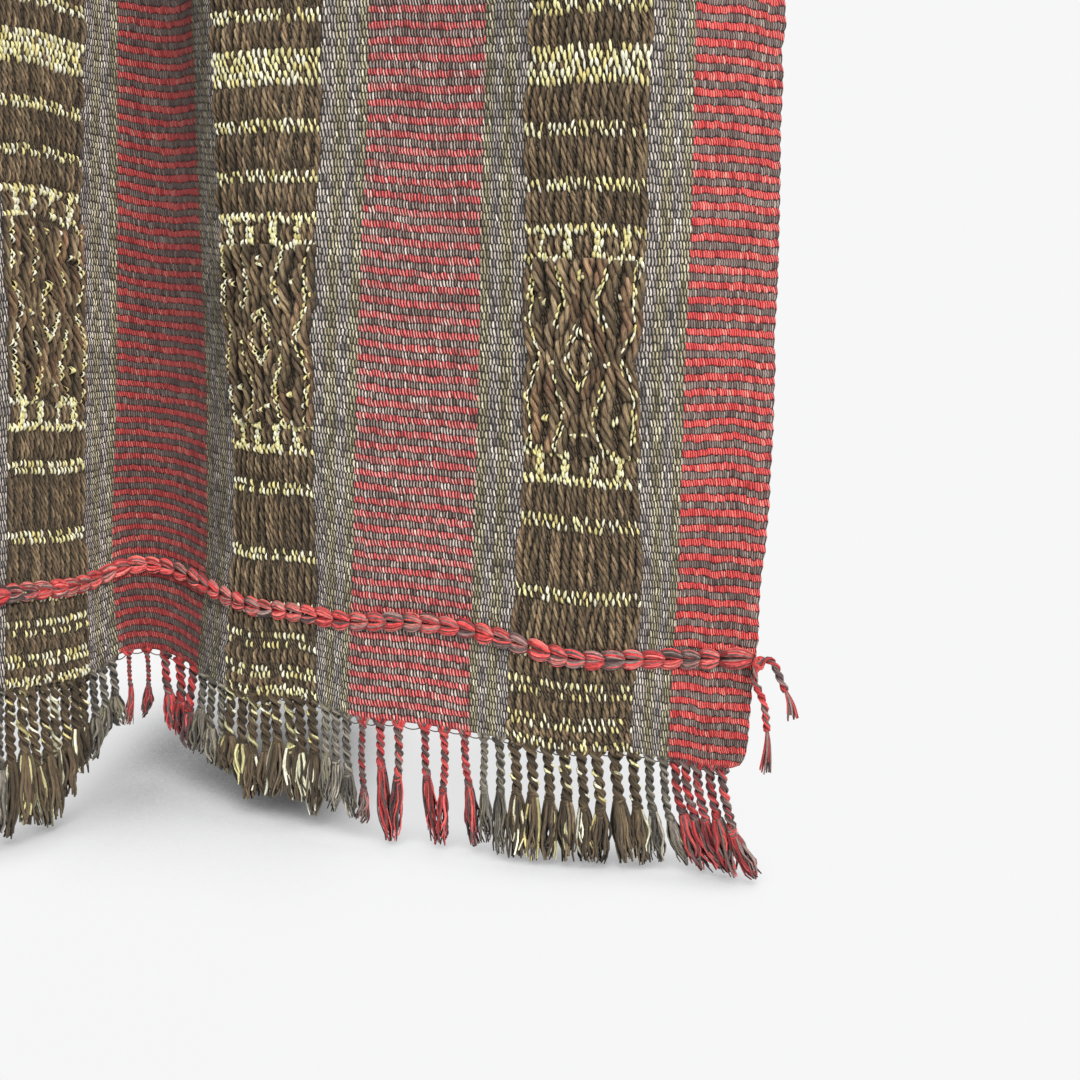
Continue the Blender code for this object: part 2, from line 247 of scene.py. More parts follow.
def weave(s, t, w=0.0):
    """Points on the woven cloth, from s, t and w in mm."""
    s, t, w = np.broadcast_arrays(np.asarray(s, float), np.asarray(t, float), np.asarray(w, float))
    q, y = stripe_of(s), np.clip(t, 0, 720) / 5
    i = np.clip(np.floor(q), 0, len(BOUNDS) - 2).astype(int)
    j = np.clip(np.floor(y), 0, 143).astype(int)
    fq, fy = q - i, y - j
    d = (DRIFTS[i, j] * (1 - fq) + DRIFTS[i + 1, j] * fq) * (1 - fy) + (DRIFTS[i, j + 1] * (1 - fq) + DRIFTS[i + 1, j + 1] * fq) * fy
    fade = smooth(720 - t, 0, 40)
    wander = 0.55 * np.sin(s / 15.0 + 1.3 + t / 160) + 0.45 * np.sin(s / 27.0 + 0.7 - t / 95) + 0.25 * np.sin(s / 7.3 + t / 60)
    wander = wander * fade - 1.7 * (1 - smooth(s, 20, 29)) * (1 - smooth(t, 80, 130))
    level = smooth(t, 5, 60) * (0.55 + 0.45 * smooth(t, 60, 130)) * fade
    high = smooth(t, 110, 190)
    wander = wander + level * ((1.1 - 1.4 * high) * smooth(s, 2, 14) * (1 - smooth(s, 22, 36)) - (3.7 - 1.0 * high) * (1 - smooth(s, 0, 18)))
    return place((s + d) * MM, (t + wander) * MM, w * MM)


# ------------------------------------------------------------------ meshes
def lin(r, g, b):
    c = np.array([r, g, b], float) / 255
    return np.where(c <= 0.04045, c / 12.92, ((c + 0.055) / 1.055) ** 2.4)


class Soup:
    """Strips of quads gathered for one piece, with a colour and a place along and around the yarn at each point."""

    def __init__(self):
        self.v, self.q, self.c, self.f, self.n, self.tubes = [], [], [], [], 0, 0

    def strips(self, pts, colour, run, turn, closed=False):
        """pts is (tube, step, ring, 3); colour is (tube, step or 1, ring or 1, 3); run is mm along the yarn, turn mm around it."""
        m, n, k, _ = pts.shape
        idx = self.n + np.arange(m * n * k).reshape(m, n, k)
        a, b = idx[:, :-1], idx[:, 1:]
        if closed:
            a2, b2 = np.roll(a, -1, axis=2), np.roll(b, -1, axis=2)
        else:
            a, a2, b, b2 = a[:, :, :-1], a[:, :, 1:], b[:, :, :-1], b[:, :, 1:]
        self.q.append(np.stack([a, a2, b2, b], axis=-1).reshape(-1, 4))
        self.v.append(pts.reshape(-1, 3))
        self.c.append(np.broadcast_to(colour, (m, n, k, 3)).reshape(-1, 3))
        ids = (self.tubes + np.arange(m))[:, None, None]
        fib = np.stack(np.broadcast_arrays(run, turn, ids * 3.7), axis=-1)
        self.f.append(np.broadcast_to(fib, (m, n, k, 3)).reshape(-1, 3))
        self.n += m * n * k
        self.tubes += m

    def build(self, name, mat):
        v, q = np.concatenate(self.v), np.concatenate(self.q)
        me = bpy.data.meshes.new(name)
        me.vertices.add(len(v))
        me.vertices.foreach_set("co", v.astype(np.float32).ravel())
        me.loops.add(q.size)
        me.loops.foreach_set("vertex_index", q.astype(np.int32).ravel())
        me.polygons.add(len(q))
        me.polygons.foreach_set("loop_start", np.arange(0, q.size, 4, dtype=np.int32))
        me.update(calc_edges=True)
        col = me.attributes.new("Col", "FLOAT_COLOR", "POINT")
        rgba = np.concatenate([np.concatenate(self.c), np.ones((len(v), 1))], axis=1)
        col.data.foreach_set("color", rgba.astype(np.float32).ravel())
        fib = me.attributes.new("fib", "FLOAT_VECTOR", "POINT")
        fib.data.foreach_set("vector", np.concatenate(self.f).astype(np.float32).ravel())
        me.shade_smooth()
        me.materials.append(mat)
        ob = bpy.data.objects.new(name, me)
        bpy.context.scene.collection.objects.link(ob)
        return ob


def frames(path, ref):
    """Two directions across each path, (tube, step, 3), kept near ref."""
    tan = unit(np.gradient(path, axis=1))
    side = unit(np.cross(np.broadcast_to(ref, tan.shape), tan))
    return tan, side, np.cross(tan, side)


def tubes(soup, path, radius, colour, sides=5, ref=(0.0, -1.0, 0.0), start=0.0, core=None, dark=0.35):
    """Round strands along path, (tube, step, 3). Where core is given, the strands lie around it and are painted darker
    towards it, as shade between them.
    """
    path = np.asarray(path, float)
    m, n, _ = path.shape
    _, a, b = frames(path, ref)
    radius = np.broadcast_to(radius, (m, n))
    th = np.arange(sides) * 2 * math.pi / sides
    ring = np.cos(th)[None, None, :, None] * a[:, :, None] + np.sin(th)[None, None, :, None] * b[:, :, None]
    pts = path[:, :, None] + ring * radius[:, :, None, None]
    step = np.concatenate([np.zeros((m, 1)), np.cumsum(np.linalg.norm(np.diff(path, axis=1), axis=2), axis=1)], axis=1) / MM + start
    turn = np.abs(np.arange(sides) * 2 / sides - 1)[None, None] * radius[:, :, None] / MM * math.pi
    colour = np.asarray(colour, float)
    if colour.ndim == 2:
        colour = colour[:, None]
    if colour.ndim == 3:
        colour = colour[:, :, None]
    if core is not None:
        # painted shade: darker on the side that faces the core
        outward = unit(path - core)
        facing = (ring * outward[:, :, None]).sum(axis=-1)
        colour = colour * (dark + (1.12 - dark) * smooth(facing, -0.55, 0.75))[..., None]
    soup.strips(pts, colour, step[:, :, None], turn, closed=True)


# ------------------------------------------------------------------ finishes
class Net:
    """Short names for building a shader."""

    def __init__(self, name):
        self.mat = bpy.data.materials.new(name)
        self.mat.use_nodes = True
        self.nodes, self.links = self.mat.node_tree.nodes, self.mat.node_tree.links
        self.out = self.nodes["Principled BSDF"]

    def put(self, socket, value):
        if isinstance(value, bpy.types.NodeSocket):
            self.links.new(value, socket)
        elif value is not None:
            socket.default_value = value

    def math(self, op, a, b=None, c=None, clamp=False):
        n = self.nodes.new("ShaderNodeMath")
        n.operation, n.use_clamp = op, clamp
        for socket, value in zip(n.inputs, (a, b, c)):
            self.put(socket, value)
        return n.outputs[0]

    def mix(self, f, a, b, mode="MIX"):
        n = self.nodes.new("ShaderNodeMix")
        n.data_type, n.blend_type, n.clamp_factor = "RGBA", mode, True
        self.put(n.inputs["Factor"], f)
        self.put(n.inputs[6], a)
        self.put(n.inputs[7], b)
        return n.outputs[2]

    def ramp(self, f, stops, constant=False):
        n = self.nodes.new("ShaderNodeValToRGB")
        r = n.color_ramp
        r.interpolation = "CONSTANT" if constant else "LINEAR"
        while len(r.elements) > 1:
            r.elements.remove(r.elements[-1])
        for i, (pos, col) in enumerate(stops):
            e = r.elements[0] if i == 0 else r.elements.new(pos)
            e.position = pos
            e.color = (*col, 1.0)
        self.put(n.inputs[0], f)
        return n.outputs["Color"]

    def join(self, x, y, z=0.0):
        n = self.nodes.new("ShaderNodeCombineXYZ")
        for socket, value in zip(n.inputs, (x, y, z)):
            self.put(socket, value)
        return n.outputs[0]

    def split(self, v):
        n = self.nodes.new("ShaderNodeSeparateXYZ")
        self.put(n.inputs[0], v)
        return n.outputs

    def uv(self, name):
        n = self.nodes.new("ShaderNodeUVMap")
        n.uv_map = name
        return n.outputs[0]

    def attribute(self, name):
        n = self.nodes.new("ShaderNodeAttribute")
        n.attribute_name = name
        return n

    def noise(self, v, scale=1.0, detail=1.0, rough=0.5):
        n = self.nodes.new("ShaderNodeTexNoise")
        self.put(n.inputs["Vector"], v)
        n.inputs["Scale"].default_value = scale
        n.inputs["Detail"].default_value = detail
        n.inputs["Roughness"].default_value = rough
        return n.outputs[0]

    def chance(self, v):
        n = self.nodes.new("ShaderNodeTexWhiteNoise")
        n.noise_dimensions = "3D"
        self.put(n.inputs["Vector"], v)
        return n.outputs

    def span(self, x, a, b, c=0.0, d=1.0):
        n = self.nodes.new("ShaderNodeMapRange")
        n.interpolation_type = "SMOOTHSTEP"
        self.put(n.inputs[0], x)
        for socket, value in zip(n.inputs[1:5], (a, b, c, d)):
            socket.default_value = value
        return n.outputs[0]

    def grey(self, x):
        n = self.nodes.new("ShaderNodeCombineColor")
        for k in range(3):
            self.put(n.inputs[k], x)
        return n.outputs[0]

    def bump(self, height, strength, distance):
        n = self.nodes.new("ShaderNodeBump")
        n.inputs["Strength"].default_value = strength
        n.inputs["Distance"].default_value = distance
        self.put(n.inputs["Height"], height)
        self.put(self.out.inputs["Normal"], n.outputs[0])


def rgb(r, g, b):
    return (*(float(x) for x in lin(r, g, b)), 1.0)


def yarn_finish(name, streak=0.5, rough=0.72, sheen=0.15):
    """Spun yarn: the strand's colour, with finer and lighter fibres along it."""
    n = Net(name)
    col, fib = n.attribute("Col").outputs["Color"], n.attribute("fib").outputs["Vector"]
    x, y, z = n.split(fib)[:3]
    fine = n.noise(n.join(n.math("MULTIPLY", x, 0.40), n.math("MULTIPLY", y, 4.6), z), 1.0, 2.0, 0.6)
    slow = n.noise(n.join(n.math("MULTIPLY", x, 0.12), n.math("MULTIPLY", y, 0.35), n.math("ADD", z, 40.0)), 1.0, 1.0)
    gain = n.math("ADD", n.span(fine, 0.3, 0.7, 1 - streak, 1 + streak), n.span(slow, 0.3, 0.7, -0.16, 0.16))
    n.put(n.out.inputs["Base Color"], n.mix(1.0, col, n.grey(gain), "MULTIPLY"))
    n.out.inputs["Roughness"].default_value = rough
    n.out.inputs["Specular IOR Level"].default_value = 0.35
    n.out.inputs["Sheen Weight"].default_value = sheen
    n.bump(fine, 0.55, 0.0003)
    return n.mat


def cloth_finish():
    """The plain woven stripes, yarn by yarn: rows of small tilted grains with dark gaps between them."""
    n = Net("woven_stripes")
    s, t = n.split(n.uv("weave"))[:2]
    s, t = n.math("MULTIPLY", s, 1000.0), n.math("MULTIPLY", t, 1000.0)
    q, front = n.split(n.uv("stripe"))[:2]
    k = n.math("FLOOR", n.math("ADD", q, 0.0005))
    f = n.math("SUBTRACT", q, k)
    four = n.math("MODULO", k, 4.0)
    is_red = n.math("LESS_THAN", four, 0.5)
    is_brown = n.math("COMPARE", four, 2.0, 0.3)
    # the middle red stripe has longer gaps between its grains than the others
    mid = n.math("COMPARE", k, 4.0, 0.3)
    fine = n.math("MULTIPLY", is_red, n.math("SUBTRACT", 1.0, mid))
    # rows and grains
    bend = n.math("MULTIPLY", n.math("SUBTRACT", n.noise(n.join(n.math("MULTIPLY", s, 0.09), n.math("MULTIPLY", t, 0.10), 3.0), 1.0, 2.0), 0.5), 1.8)
    ragged = n.math("MULTIPLY", n.math("SUBTRACT", n.noise(n.join(n.math("MULTIPLY", s, 0.62), n.math("MULTIPLY", t, 0.15), 13.0), 1.0, 1.0), 0.5), 2.0)
    v = n.math("DIVIDE", n.math("ADD", n.math("ADD", t, bend), ragged), 2.95)
    row = n.math("FLOOR", v)
    b = n.math("SUBTRACT", n.math("SUBTRACT", v, row), 0.5)
    rr = n.chance(n.join(row, k, 1.0))[0]
    sway = n.math("MULTIPLY", n.math("SUBTRACT", n.noise(n.join(n.math("MULTIPLY", s, 0.25), n.math("MULTIPLY", t, 0.16), 9.0), 1.0, 2.0), 0.5), 1.3)
    width = n.math("SUBTRACT", 1.30, n.math("MULTIPLY", fine, 0.30))
    u = n.math("ADD", n.math("DIVIDE", n.math("ADD", s, sway), width), n.math("ADD", n.math("MULTIPLY", n.math("MODULO", row, 2.0), 0.5), n.math("MULTIPLY", rr, 0.3)))
    pick = n.math("LESS_THAN", n.math("MODULO", row, 2.0), 0.5)
    slant = n.math("ADD", n.math("ADD", 0.20, n.math("MULTIPLY", n.math("MULTIPLY", is_red, pick), 0.34)), n.math("MULTIPLY", is_brown, 0.75))
    u = n.math("SUBTRACT", u, n.math("MULTIPLY", b, slant))
    colm = n.math("FLOOR", u)
    a = n.math("SUBTRACT", n.math("SUBTRACT", u, colm), 0.5)
    cell = n.chance(n.join(colm, row, 7.0))
    w1 = cell[0]
    w2, w3 = n.split(cell[1])[0:2]
    # grains stand at slightly different heights in their row
    bb = n.math("ADD", b, n.math("MULTIPLY", n.math("SUBTRACT", w2, 0.5), 0.20))
    wide = n.math("ADD", n.math("ADD", 1.95, n.math("MULTIPLY", w3, 0.45)), n.math("MULTIPLY", n.math("SUBTRACT", 1.0, fine), 0.58))
    pa = n.math("POWER", n.math("ABSOLUTE", n.math("MULTIPLY", a, wide)), 2.0)
    pb = n.math("POWER", n.math("ABSOLUTE", n.math("MULTIPLY", bb, n.math("ADD", 1.78, n.math("MULTIPLY", fine, 0.17)))), n.math("ADD", 3.6, n.math("MULTIPLY", fine, 2.6)))
    patch = n.span(n.noise(n.join(n.math("MULTIPLY", s, 0.42), n.math("MULTIPLY", t, 0.13), 21.0), 1.0, 2.0), 0.32, 0.68)
    w1 = n.math("ADD", n.math("MULTIPLY", w1, 0.62), n.math("MULTIPLY", patch, 0.38))
    body = n.math("SUBTRACT", n.math("SUBTRACT", 1.0, pa), pb, clamp=True)
    cover = n.span(body, 0.0, 0.46)
    # the stripe's yarns
    red = n.ramp(w1, [(0.0, lin(186, 50, 52)), (0.3, lin(228, 80, 78)), (0.65, lin(252, 108, 102)), (0.9, lin(255, 146, 134)), (1.0, lin(250, 168, 152))])
    mauve = n.ramp(w1, [(0.0, lin(88, 70, 67)), (0.35, lin(126, 106, 100)), (0.7, lin(150, 132, 124)), (1.0, lin(190, 176, 164))])
    reds = n.mix(pick, mauve, red)
    faded = n.ramp(n.math("DIVIDE", q, 22.0), [(0.0, (0, 0, 0)), (2.0 / 22, (1, 1, 1)), (6.0 / 22, (0.35, 0.35, 0.35)), (10.0 / 22, (1, 1, 1)), (14.0 / 22, (0.4, 0.4, 0.4)), (18.0 / 22, (0.2, 0.2, 0.2))], True)
    reds = n.mix(n.math("MULTIPLY", faded, 0.42), reds, n.mix(pick, rgb(124, 100, 98), rgb(186, 82, 88)))
    # in the middle stripe the red fades to mauve in patches
    fading = n.span(n.noise(n.join(n.math("MULTIPLY", s, 0.12), n.math("MULTIPLY", t, 0.20), 33.0), 1.0, 2.0), 0.46, 0.70, 0.0, 0.62)
    fading = n.math("MULTIPLY", fading, n.span(t, 40.0, 90.0, 0.15, 1.0))
    paled = n.ramp(w1, [(0.0, lin(184, 72, 74)), (0.4, lin(244, 108, 108)), (0.75, lin(255, 150, 145)), (1.0, lin(255, 210, 198))])
    worn_mauve = n.ramp(w1, [(0.0, lin(102, 87, 80)), (0.4, lin(156, 137, 128)), (0.75, lin(200, 182, 172)), (1.0, lin(240, 228, 216))])
    reds = n.mix(mid, reds, n.mix(pick, worn_mauve, n.mix(fading, paled, worn_mauve)))
    g = n.math("ADD", n.math("MULTIPLY", f, n.math("SUBTRACT", four, 2.0)), n.math("MULTIPLY", n.math("LESS_THAN", four, 2.0), 1.0))
    cool = n.ramp(w1, [(0.0, lin(94, 88, 88)), (0.3, lin(153, 145, 140)), (0.65, lin(200, 190, 180)), (1.0, lin(244, 236, 222))])
    olive = n.ramp(w1, [(0.0, lin(100, 92, 70)), (0.35, lin(157, 147, 118)), (0.7, lin(197, 187, 155)), (1.0, lin(242, 234, 204))])
    zone = n.ramp(g, [(0.0, (0, 0, 0)), (0.30, (1, 1, 1)), (0.55, (0, 0, 0)), (0.78, (1, 1, 1))], True)
    greys = n.mix(zone, cool, olive)
    # painted light and shade on the brown ground: its grains are lighter in their middles and darker at their edges
    ground = n.mix(cover, rgb(30, 24, 17), n.mix(1.0, n.ramp(w1, [(0.0, lin(62, 50, 36)), (0.5, lin(98, 82, 62)), (1.0, lin(132, 114, 90))]), n.grey(n.span(body, 0.0, 1.0, 0.5, 1.1)), "MULTIPLY"))
    back = n.mix(n.math("LESS_THAN", w3, 0.22), rgb(84, 70, 57), rgb(196, 184, 124))
    grain = n.mix(is_red, greys, reds)
    grain = n.mix(is_brown, grain, n.mix(front, back, ground))
    gap = n.mix(is_red, rgb(54, 49, 46), n.mix(pick, rgb(44, 28, 27), n.mix(mid, rgb(100, 26, 29), rgb(82, 42, 40))))
    worn = n.noise(n.join(n.math("MULTIPLY", s, 0.03), n.math("MULTIPLY", t, 0.03), 5.0), 1.0, 2.0)
    # fibres along the grain, and painted light: each grain is lighter in its middle and on its lit left side, darker at
    # its edges
    fibre = n.noise(n.join(n.math("MULTIPLY", u, 4.2), n.math("MULTIPLY", v, 0.9), 2.0), 1.0, 1.0)
    lit = n.math("ADD", n.span(body, 0.1, 1.0, 0.66, 1.20), n.math("MULTIPLY", a, 0.26))
    painted_light_and_tone = n.math("ADD", n.math("ADD", lit, n.span(fibre, 0.3, 0.7, -0.20, 0.20)), n.span(worn, 0.3, 0.7, -0.10, 0.08))
    # the yarns deep in the second fold look smoother and darker; their darkening here is painted shade of the fold's
    # hollow
    deep = n.ramp(n.math("DIVIDE", q, 22.0), [(0.0, (0, 0, 0)), (6.9 / 22, (0, 0, 0)), (7.3 / 22, (0.8, 0.8, 0.8)), (8.1 / 22, (1, 1, 1)), (8.9 / 22, (1, 1, 1)), (9.1 / 22, (0, 0, 0))])
    painted_light_and_tone = n.math("MULTIPLY", painted_light_and_tone, n.math("SUBTRACT", 1.0, n.math("MULTIPLY", deep, 0.46)))
    grain = n.mix(1.0, grain, n.grey(painted_light_and_tone), "MULTIPLY")
    base = n.mix(cover, gap, grain)
    plain = n.math("MULTIPLY", is_brown, front)
    base = n.mix(plain, base, ground)
    n.put(n.out.inputs["Base Color"], base)
    n.out.inputs["Roughness"].default_value = 0.8
    n.out.inputs["Specular IOR Level"].default_value = 0.3
    n.out.inputs["Sheen Weight"].default_value = 0.1
    rise = n.math("POWER", body, 0.6, clamp=True)
    n.bump(n.math("MULTIPLY", rise, n.math("SUBTRACT", 1.0, n.math("MULTIPLY", plain, 0.8))), 0.9, 0.0007)
    return n.mat


YARN = yarn_finish("thick_yarn", 0.70)
CREAM = yarn_finish("cream_yarn", 0.16, 0.6, 0.1)
RED = yarn_finish("red_and_mauve_yarn", 0.48, 0.65)

BROWNS = np.array([lin(116, 97, 71), lin(130, 110, 82), lin(101, 84, 61), lin(140, 120, 92), lin(119, 97, 73), lin(91, 75, 54)])
CREAMS = np.array([lin(252, 248, 212), lin(244, 236, 172), lin(255, 253, 228), lin(232, 218, 146), lin(250, 244, 190)])
REDS = np.array([lin(216, 70, 70), lin(190, 56, 58), lin(230, 92, 88), lin(168, 50, 52), lin(206, 84, 84)])
MAUVES = np.array([lin(124, 100, 96), lin(104, 82, 80), lin(144, 120, 114), lin(86, 66, 64)])
GREYS = np.array([lin(128, 120, 110), lin(104, 98, 88), lin(160, 152, 136), lin(80, 75, 68), lin(140, 134, 110)])


def pick(palette, shape):
    return palette[RNG.integers(0, len(palette), shape)]


# ------------------------------------------------------------------ the woven panel
PICK = 2.95  # height of one row


def inset(t):
    x = np.clip(1 - np.asarray(t, float) / CORNER_MM, 0, 1)
    return CORNER_MM * (1 - np.sqrt(1 - x * x)) * 0.75


def woven_panel():
    ss = [0.0]
    for k in range(len(BOUNDS) - 1):
        near = BOUNDS[k] < 369
        n = max(2, int(round((BOUNDS[k + 1] - BOUNDS[k]) / (5.0 if near else 9.0))))
        ss += list(np.linspace(BOUNDS[k], BOUNDS[k + 1], n + 1)[1:])
    near_rows = np.arange(0, 366 / (PICK / 2)) * (PICK / 2)
    far_rows = np.linspace(near_rows[-1], 720, 60)[1:]
    ss, ts = np.array(ss), np.concatenate([near_rows, far_rows])
    crest = np.where(np.arange(len(ts)) % 2 == 1, 1.0, -1.0)
    crest[len(near_rows) :] = 0.0
    ns, nt = len(ss), len(ts)
    s2, t2 = np.meshgrid(ss, ts, indexing="ij")
    ins = inset(t2)
    sp = np.clip(s2, ins, 693 - ins)
    # the weft's turns make the selvedge a little uneven
    uneven = 0.30 * np.cos(math.pi * ts / PICK) + np.interp(ts, np.arange(0, 730, 9.0), RNG.normal(0, 0.42, 82))
    sp[0] = sp[0] - uneven * smooth(ts, 8, 14)
    rim = np.ones_like(s2)
    rim[0], rim[-1] = 0.45, 0.45
    rim[:, 0], rim[:, -1] = 0.5, 0.5
    brown = (np.floor(stripe_of(s2) + 1e-6) % 4 == 2) | (np.floor(stripe_of(s2) - 1e-6) % 4 == 2)
    rib = crest[None] * np.where(brown, 0.1, 0.3)
    fr = weave(sp, t2, (0.85 + rib) * rim)
    bk = weave(sp, t2, (-0.85 - rib * 0.8) * rim)
    v = np.concatenate([fr.reshape(-1, 3), bk.reshape(-1, 3)])
    idx = np.arange(ns * nt).reshape(ns, nt)
    a, b, c, d = idx[:-1, :-1], idx[:-1, 1:], idx[1:, 1:], idx[1:, :-1]
    qf = np.stack([a, b, c, d], axis=-1).reshape(-1, 4)
    qb = np.stack([a, d, c, b], axis=-1).reshape(-1, 4) + ns * nt
    rim_line = np.concatenate([idx[:, 0], idx[-1, 1:], idx[-2::-1, -1], idx[0, -2::-1]])
    r0, r1 = rim_line[:-1], rim_line[1:]
    qs = np.stack([r0, r1, r1 + ns * nt, r0 + ns * nt], axis=-1)
    q = np.concatenate([qf, qb, qs])
    me = bpy.data.meshes.new("woven_panel")
    me.vertices.add(len(v))
    me.vertices.foreach_set("co", v.astype(np.float32).ravel())
    me.loops.add(q.size)
    me.loops.foreach_set("vertex_index", q.astype(np.int32).ravel())
    me.polygons.add(len(q))
    me.polygons.foreach_set("loop_start", np.arange(0, q.size, 4, dtype=np.int32))
    me.update(calc_edges=True)
    sv, tv = np.tile(s2.ravel(), 2), np.tile(t2.ravel(), 2)
    qv = stripe_of(sv)
    which = q.ravel()
    w_uv = np.stack([sv[which] * MM, tv[which] * MM], axis=1)
    side = np.concatenate([np.ones(len(qf) * 4), np.zeros(len(qb) * 4), np.zeros(len(qs) * 4)])
    s_uv = np.stack([qv[which], side], axis=1)
    # the last column of a stripe keeps that stripe's number up to its edge
    cell = np.repeat(qv[q].min(axis=1), 4)
    s_uv[:, 0] = np.where(s_uv[:, 0] - np.floor(cell + 1e-6) > 0.9999, np.floor(cell + 1e-6) + 0.9994, s_uv[:, 0])
    bake = np.empty_like(w_uv)
    nf, nb = len(qf) * 4, len(qb) * 4
    bake[:nf] = np.stack([0.004 + sv[which[:nf]] / 693 * 0.646, 0.004 + tv[which[:nf]] / 720 * 0.992], axis=1)
    bake[nf : nf + nb] = np.stack([0.670 + sv[which[nf : nf + nb]] / 693 * 0.326, 0.004 + tv[which[nf : nf + nb]] / 720 * 0.992], axis=1)
    run = np.arange(len(qs)) / len(qs)
    step = 1.0 / len(qs)
    strip = np.stack([np.stack([np.full_like(run, 0.656), run], 1), np.stack([np.full_like(run, 0.656), run + step], 1), np.stack([np.full_like(run, 0.664), run + step], 1), np.stack([np.full_like(run, 0.664), run], 1)], axis=1)
    bake[nf + nb :] = strip.reshape(-1, 2)
    for name, data in (("weave", w_uv), ("stripe", s_uv), ("OFBake", bake)):
        layer = me.uv_layers.new(name=name)
        layer.data.foreach_set("uv", data.astype(np.float32).ravel())
    me.shade_smooth()
    me.materials.append(cloth_finish())
    ob = bpy.data.objects.new("woven_panel", me)
    bpy.context.scene.collection.objects.link(ob)
    return ob


# ------------------------------------------------------------------ the patterned brown bands
Zone = namedtuple("Zone", "kind low high")
HEM_ZONES = [
    Zone("cream", 0.2, 4.6), Zone("brown", 4.0, 8.2), Zone("cream", 7.8, 14.4), Zone("brown", 14.2, 21.2),
    Zone("cream", 20.9, 29.6), Zone("brown", 29.4, 37.6), Zone("cream", 36.4, 43.4), Zone("brown", 43.2, 62.4),
    Zone("cream", 62.3, 68.0), Zone("brown", 67.8, 92.6), Zone("cream", 92.3, 98.2), Zone("brown", 98.2, 111.2),
]
# from the top of one lattice field to the bottom of the next, heights over the field's top
BETWEEN_ZONES = [
    Zone("brown", 2.2, 14.4), Zone("cream", 14.2, 19.0), Zone("brown", 18.8, 34.6), Zone("cream", 34.2, 39.4),
    Zone("brown", 39.2, 53.2), Zone("cream", 52.8, 66.8), Zone("brown", 66.4, 77.8), Zone("cream", 77.4, 82.4),
    Zone("brown", 82.2, 98.0), Zone("cream", 97.8, 102.6), Zone("brown", 102.4, 115.0),
]


def zones():
    out = list(HEM_ZONES)
    for c in LATTICES:
        for z in BETWEEN_ZONES:
            low, high = z.low + c + LATTICE_HALF, z.high + c + LATTICE_HALF
            if low < 716:
                out.append(Zone(z.kind, low, min(high, 719.0)))
    return out


def plied(soup, s, t, w, radius, phase, colours, pitch=11.0, ring=6, plies=2, dim=None):
    """Twisted yarns lying on the cloth. s, t, w and radius are (yarn, step) in mm, and dim is the share of colour kept,
    as painted shade.
    """
    th = np.linspace(-0.28 * math.pi, 1.28 * math.pi, ring)
    for ply in range(plies):
        phi = phase[:, None] + 2 * math.pi * ply / plies + 2 * math.pi * (t - t[:, :1]) / pitch
        sc = s - radius * 0.52 * np.cos(phi)
        wc = w + radius * 0.46 * np.sin(phi)
        r = radius * (0.58 if plies == 2 else 0.45)
        ss = sc[..., None] + r[..., None] * np.cos(th)
        ww = wc[..., None] + r[..., None] * np.sin(th)
        tt = np.broadcast_to(t[..., None], ss.shape)
        pts = weave(ss, tt, ww)
        turn = (th / math.pi)[None, None] * r[..., None] * 3.0
        # painted shade: darker down its sides, towards its edges across the barrel and where it goes under its
        # neighbour
        shade = (0.16 + 1.04 * smooth(np.sin(th), -0.25, 0.85))[None, None] * (0.46 + 0.62 * smooth(np.sin(phi), -0.7, 0.6))[..., None]
        across = np.abs((sc - s)[..., None] + r[..., None] * np.cos(th)) / radius[..., None]
        shade = shade * (1.16 - 0.78 * smooth(across, 0.40, 1.0))
        if dim is not None:
            shade = shade * dim[..., None]
        soup.strips(pts, colours[:, ply][:, None, None] * shade[..., None], t[..., None] * 1.0, turn)


def block_yarns(near, far):
    """The solid blocks: thick twisted yarns side by side, each a little barrel between its two ends."""
    for band in range(5):
        k = 2 + 4 * band
        lo, hi = BOUNDS[k], BOUNDS[k + 1]
        for z in zones():
            if z.kind != "brown":
                continue
            close = band < 3 and z.low < 330
            soup = near if close else far
            count = 16 if close else 12
            length = z.high - z.low
            n = max(5, int(length / (1.7 if close else 3.6)) + 1)
            m = count
            x = np.linspace(0, 1, n)[None]
            pitch = (hi - lo) / count
            cs = lo + pitch * (np.arange(m) + 0.5) + RNG.normal(0, 0.22, m)
            bow = RNG.normal(0, 0.55, (m, 1))
            lean = RNG.normal(-0.9, 1.2, (m, 1))
            out = (np.abs(np.arange(m) - (m - 1) / 2) / (m / 2)) ** 6 * np.sign(np.arange(m) - (m - 1) / 2)
            s = cs[:, None] + bow * np.sin(math.pi * x) + lean * (x - 0.5) * length * 0.045 + out[:, None] * 1.0 * np.sin(math.pi * x)
            ends = RNG.normal(0, 0.45, (m, 2)) + np.array([-0.5, 0.5])
            t = (z.low + ends[:, :1]) + x * (length + ends[:, 1:] - ends[:, :1])
            shape = np.sin(math.pi * np.clip(x, 0, 1)) ** 0.45
            fat = pitch * RNG.uniform(0.50, 0.62, (m, 1))
            radius = fat * (0.62 + 0.38 * shape)
            w = 0.15 + shape * (1.05 + RNG.normal(0, 0.16, (m, 1))) + 0.12 * np.sin(x * 9 + RNG.uniform(0, 6, (m, 1)))
            cols = pick(BROWNS, (m, 3)) * RNG.uniform(0.66, 1.16, (m, 1, 1)) * RNG.uniform(0.70, 1.22, (m, 3, 1)) * (0.98 - 0.05 * band)
            # dim paints shade towards each yarn's two ends, where it goes under the cloth
            plied(soup, s, t, w, radius, RNG.uniform(0, 6.28, m), cols, pitch=RNG.uniform(10, 13), ring=5 if close else 4, plies=3 if close else 2, dim=0.62 + 0.46 * shape + 0 * s)


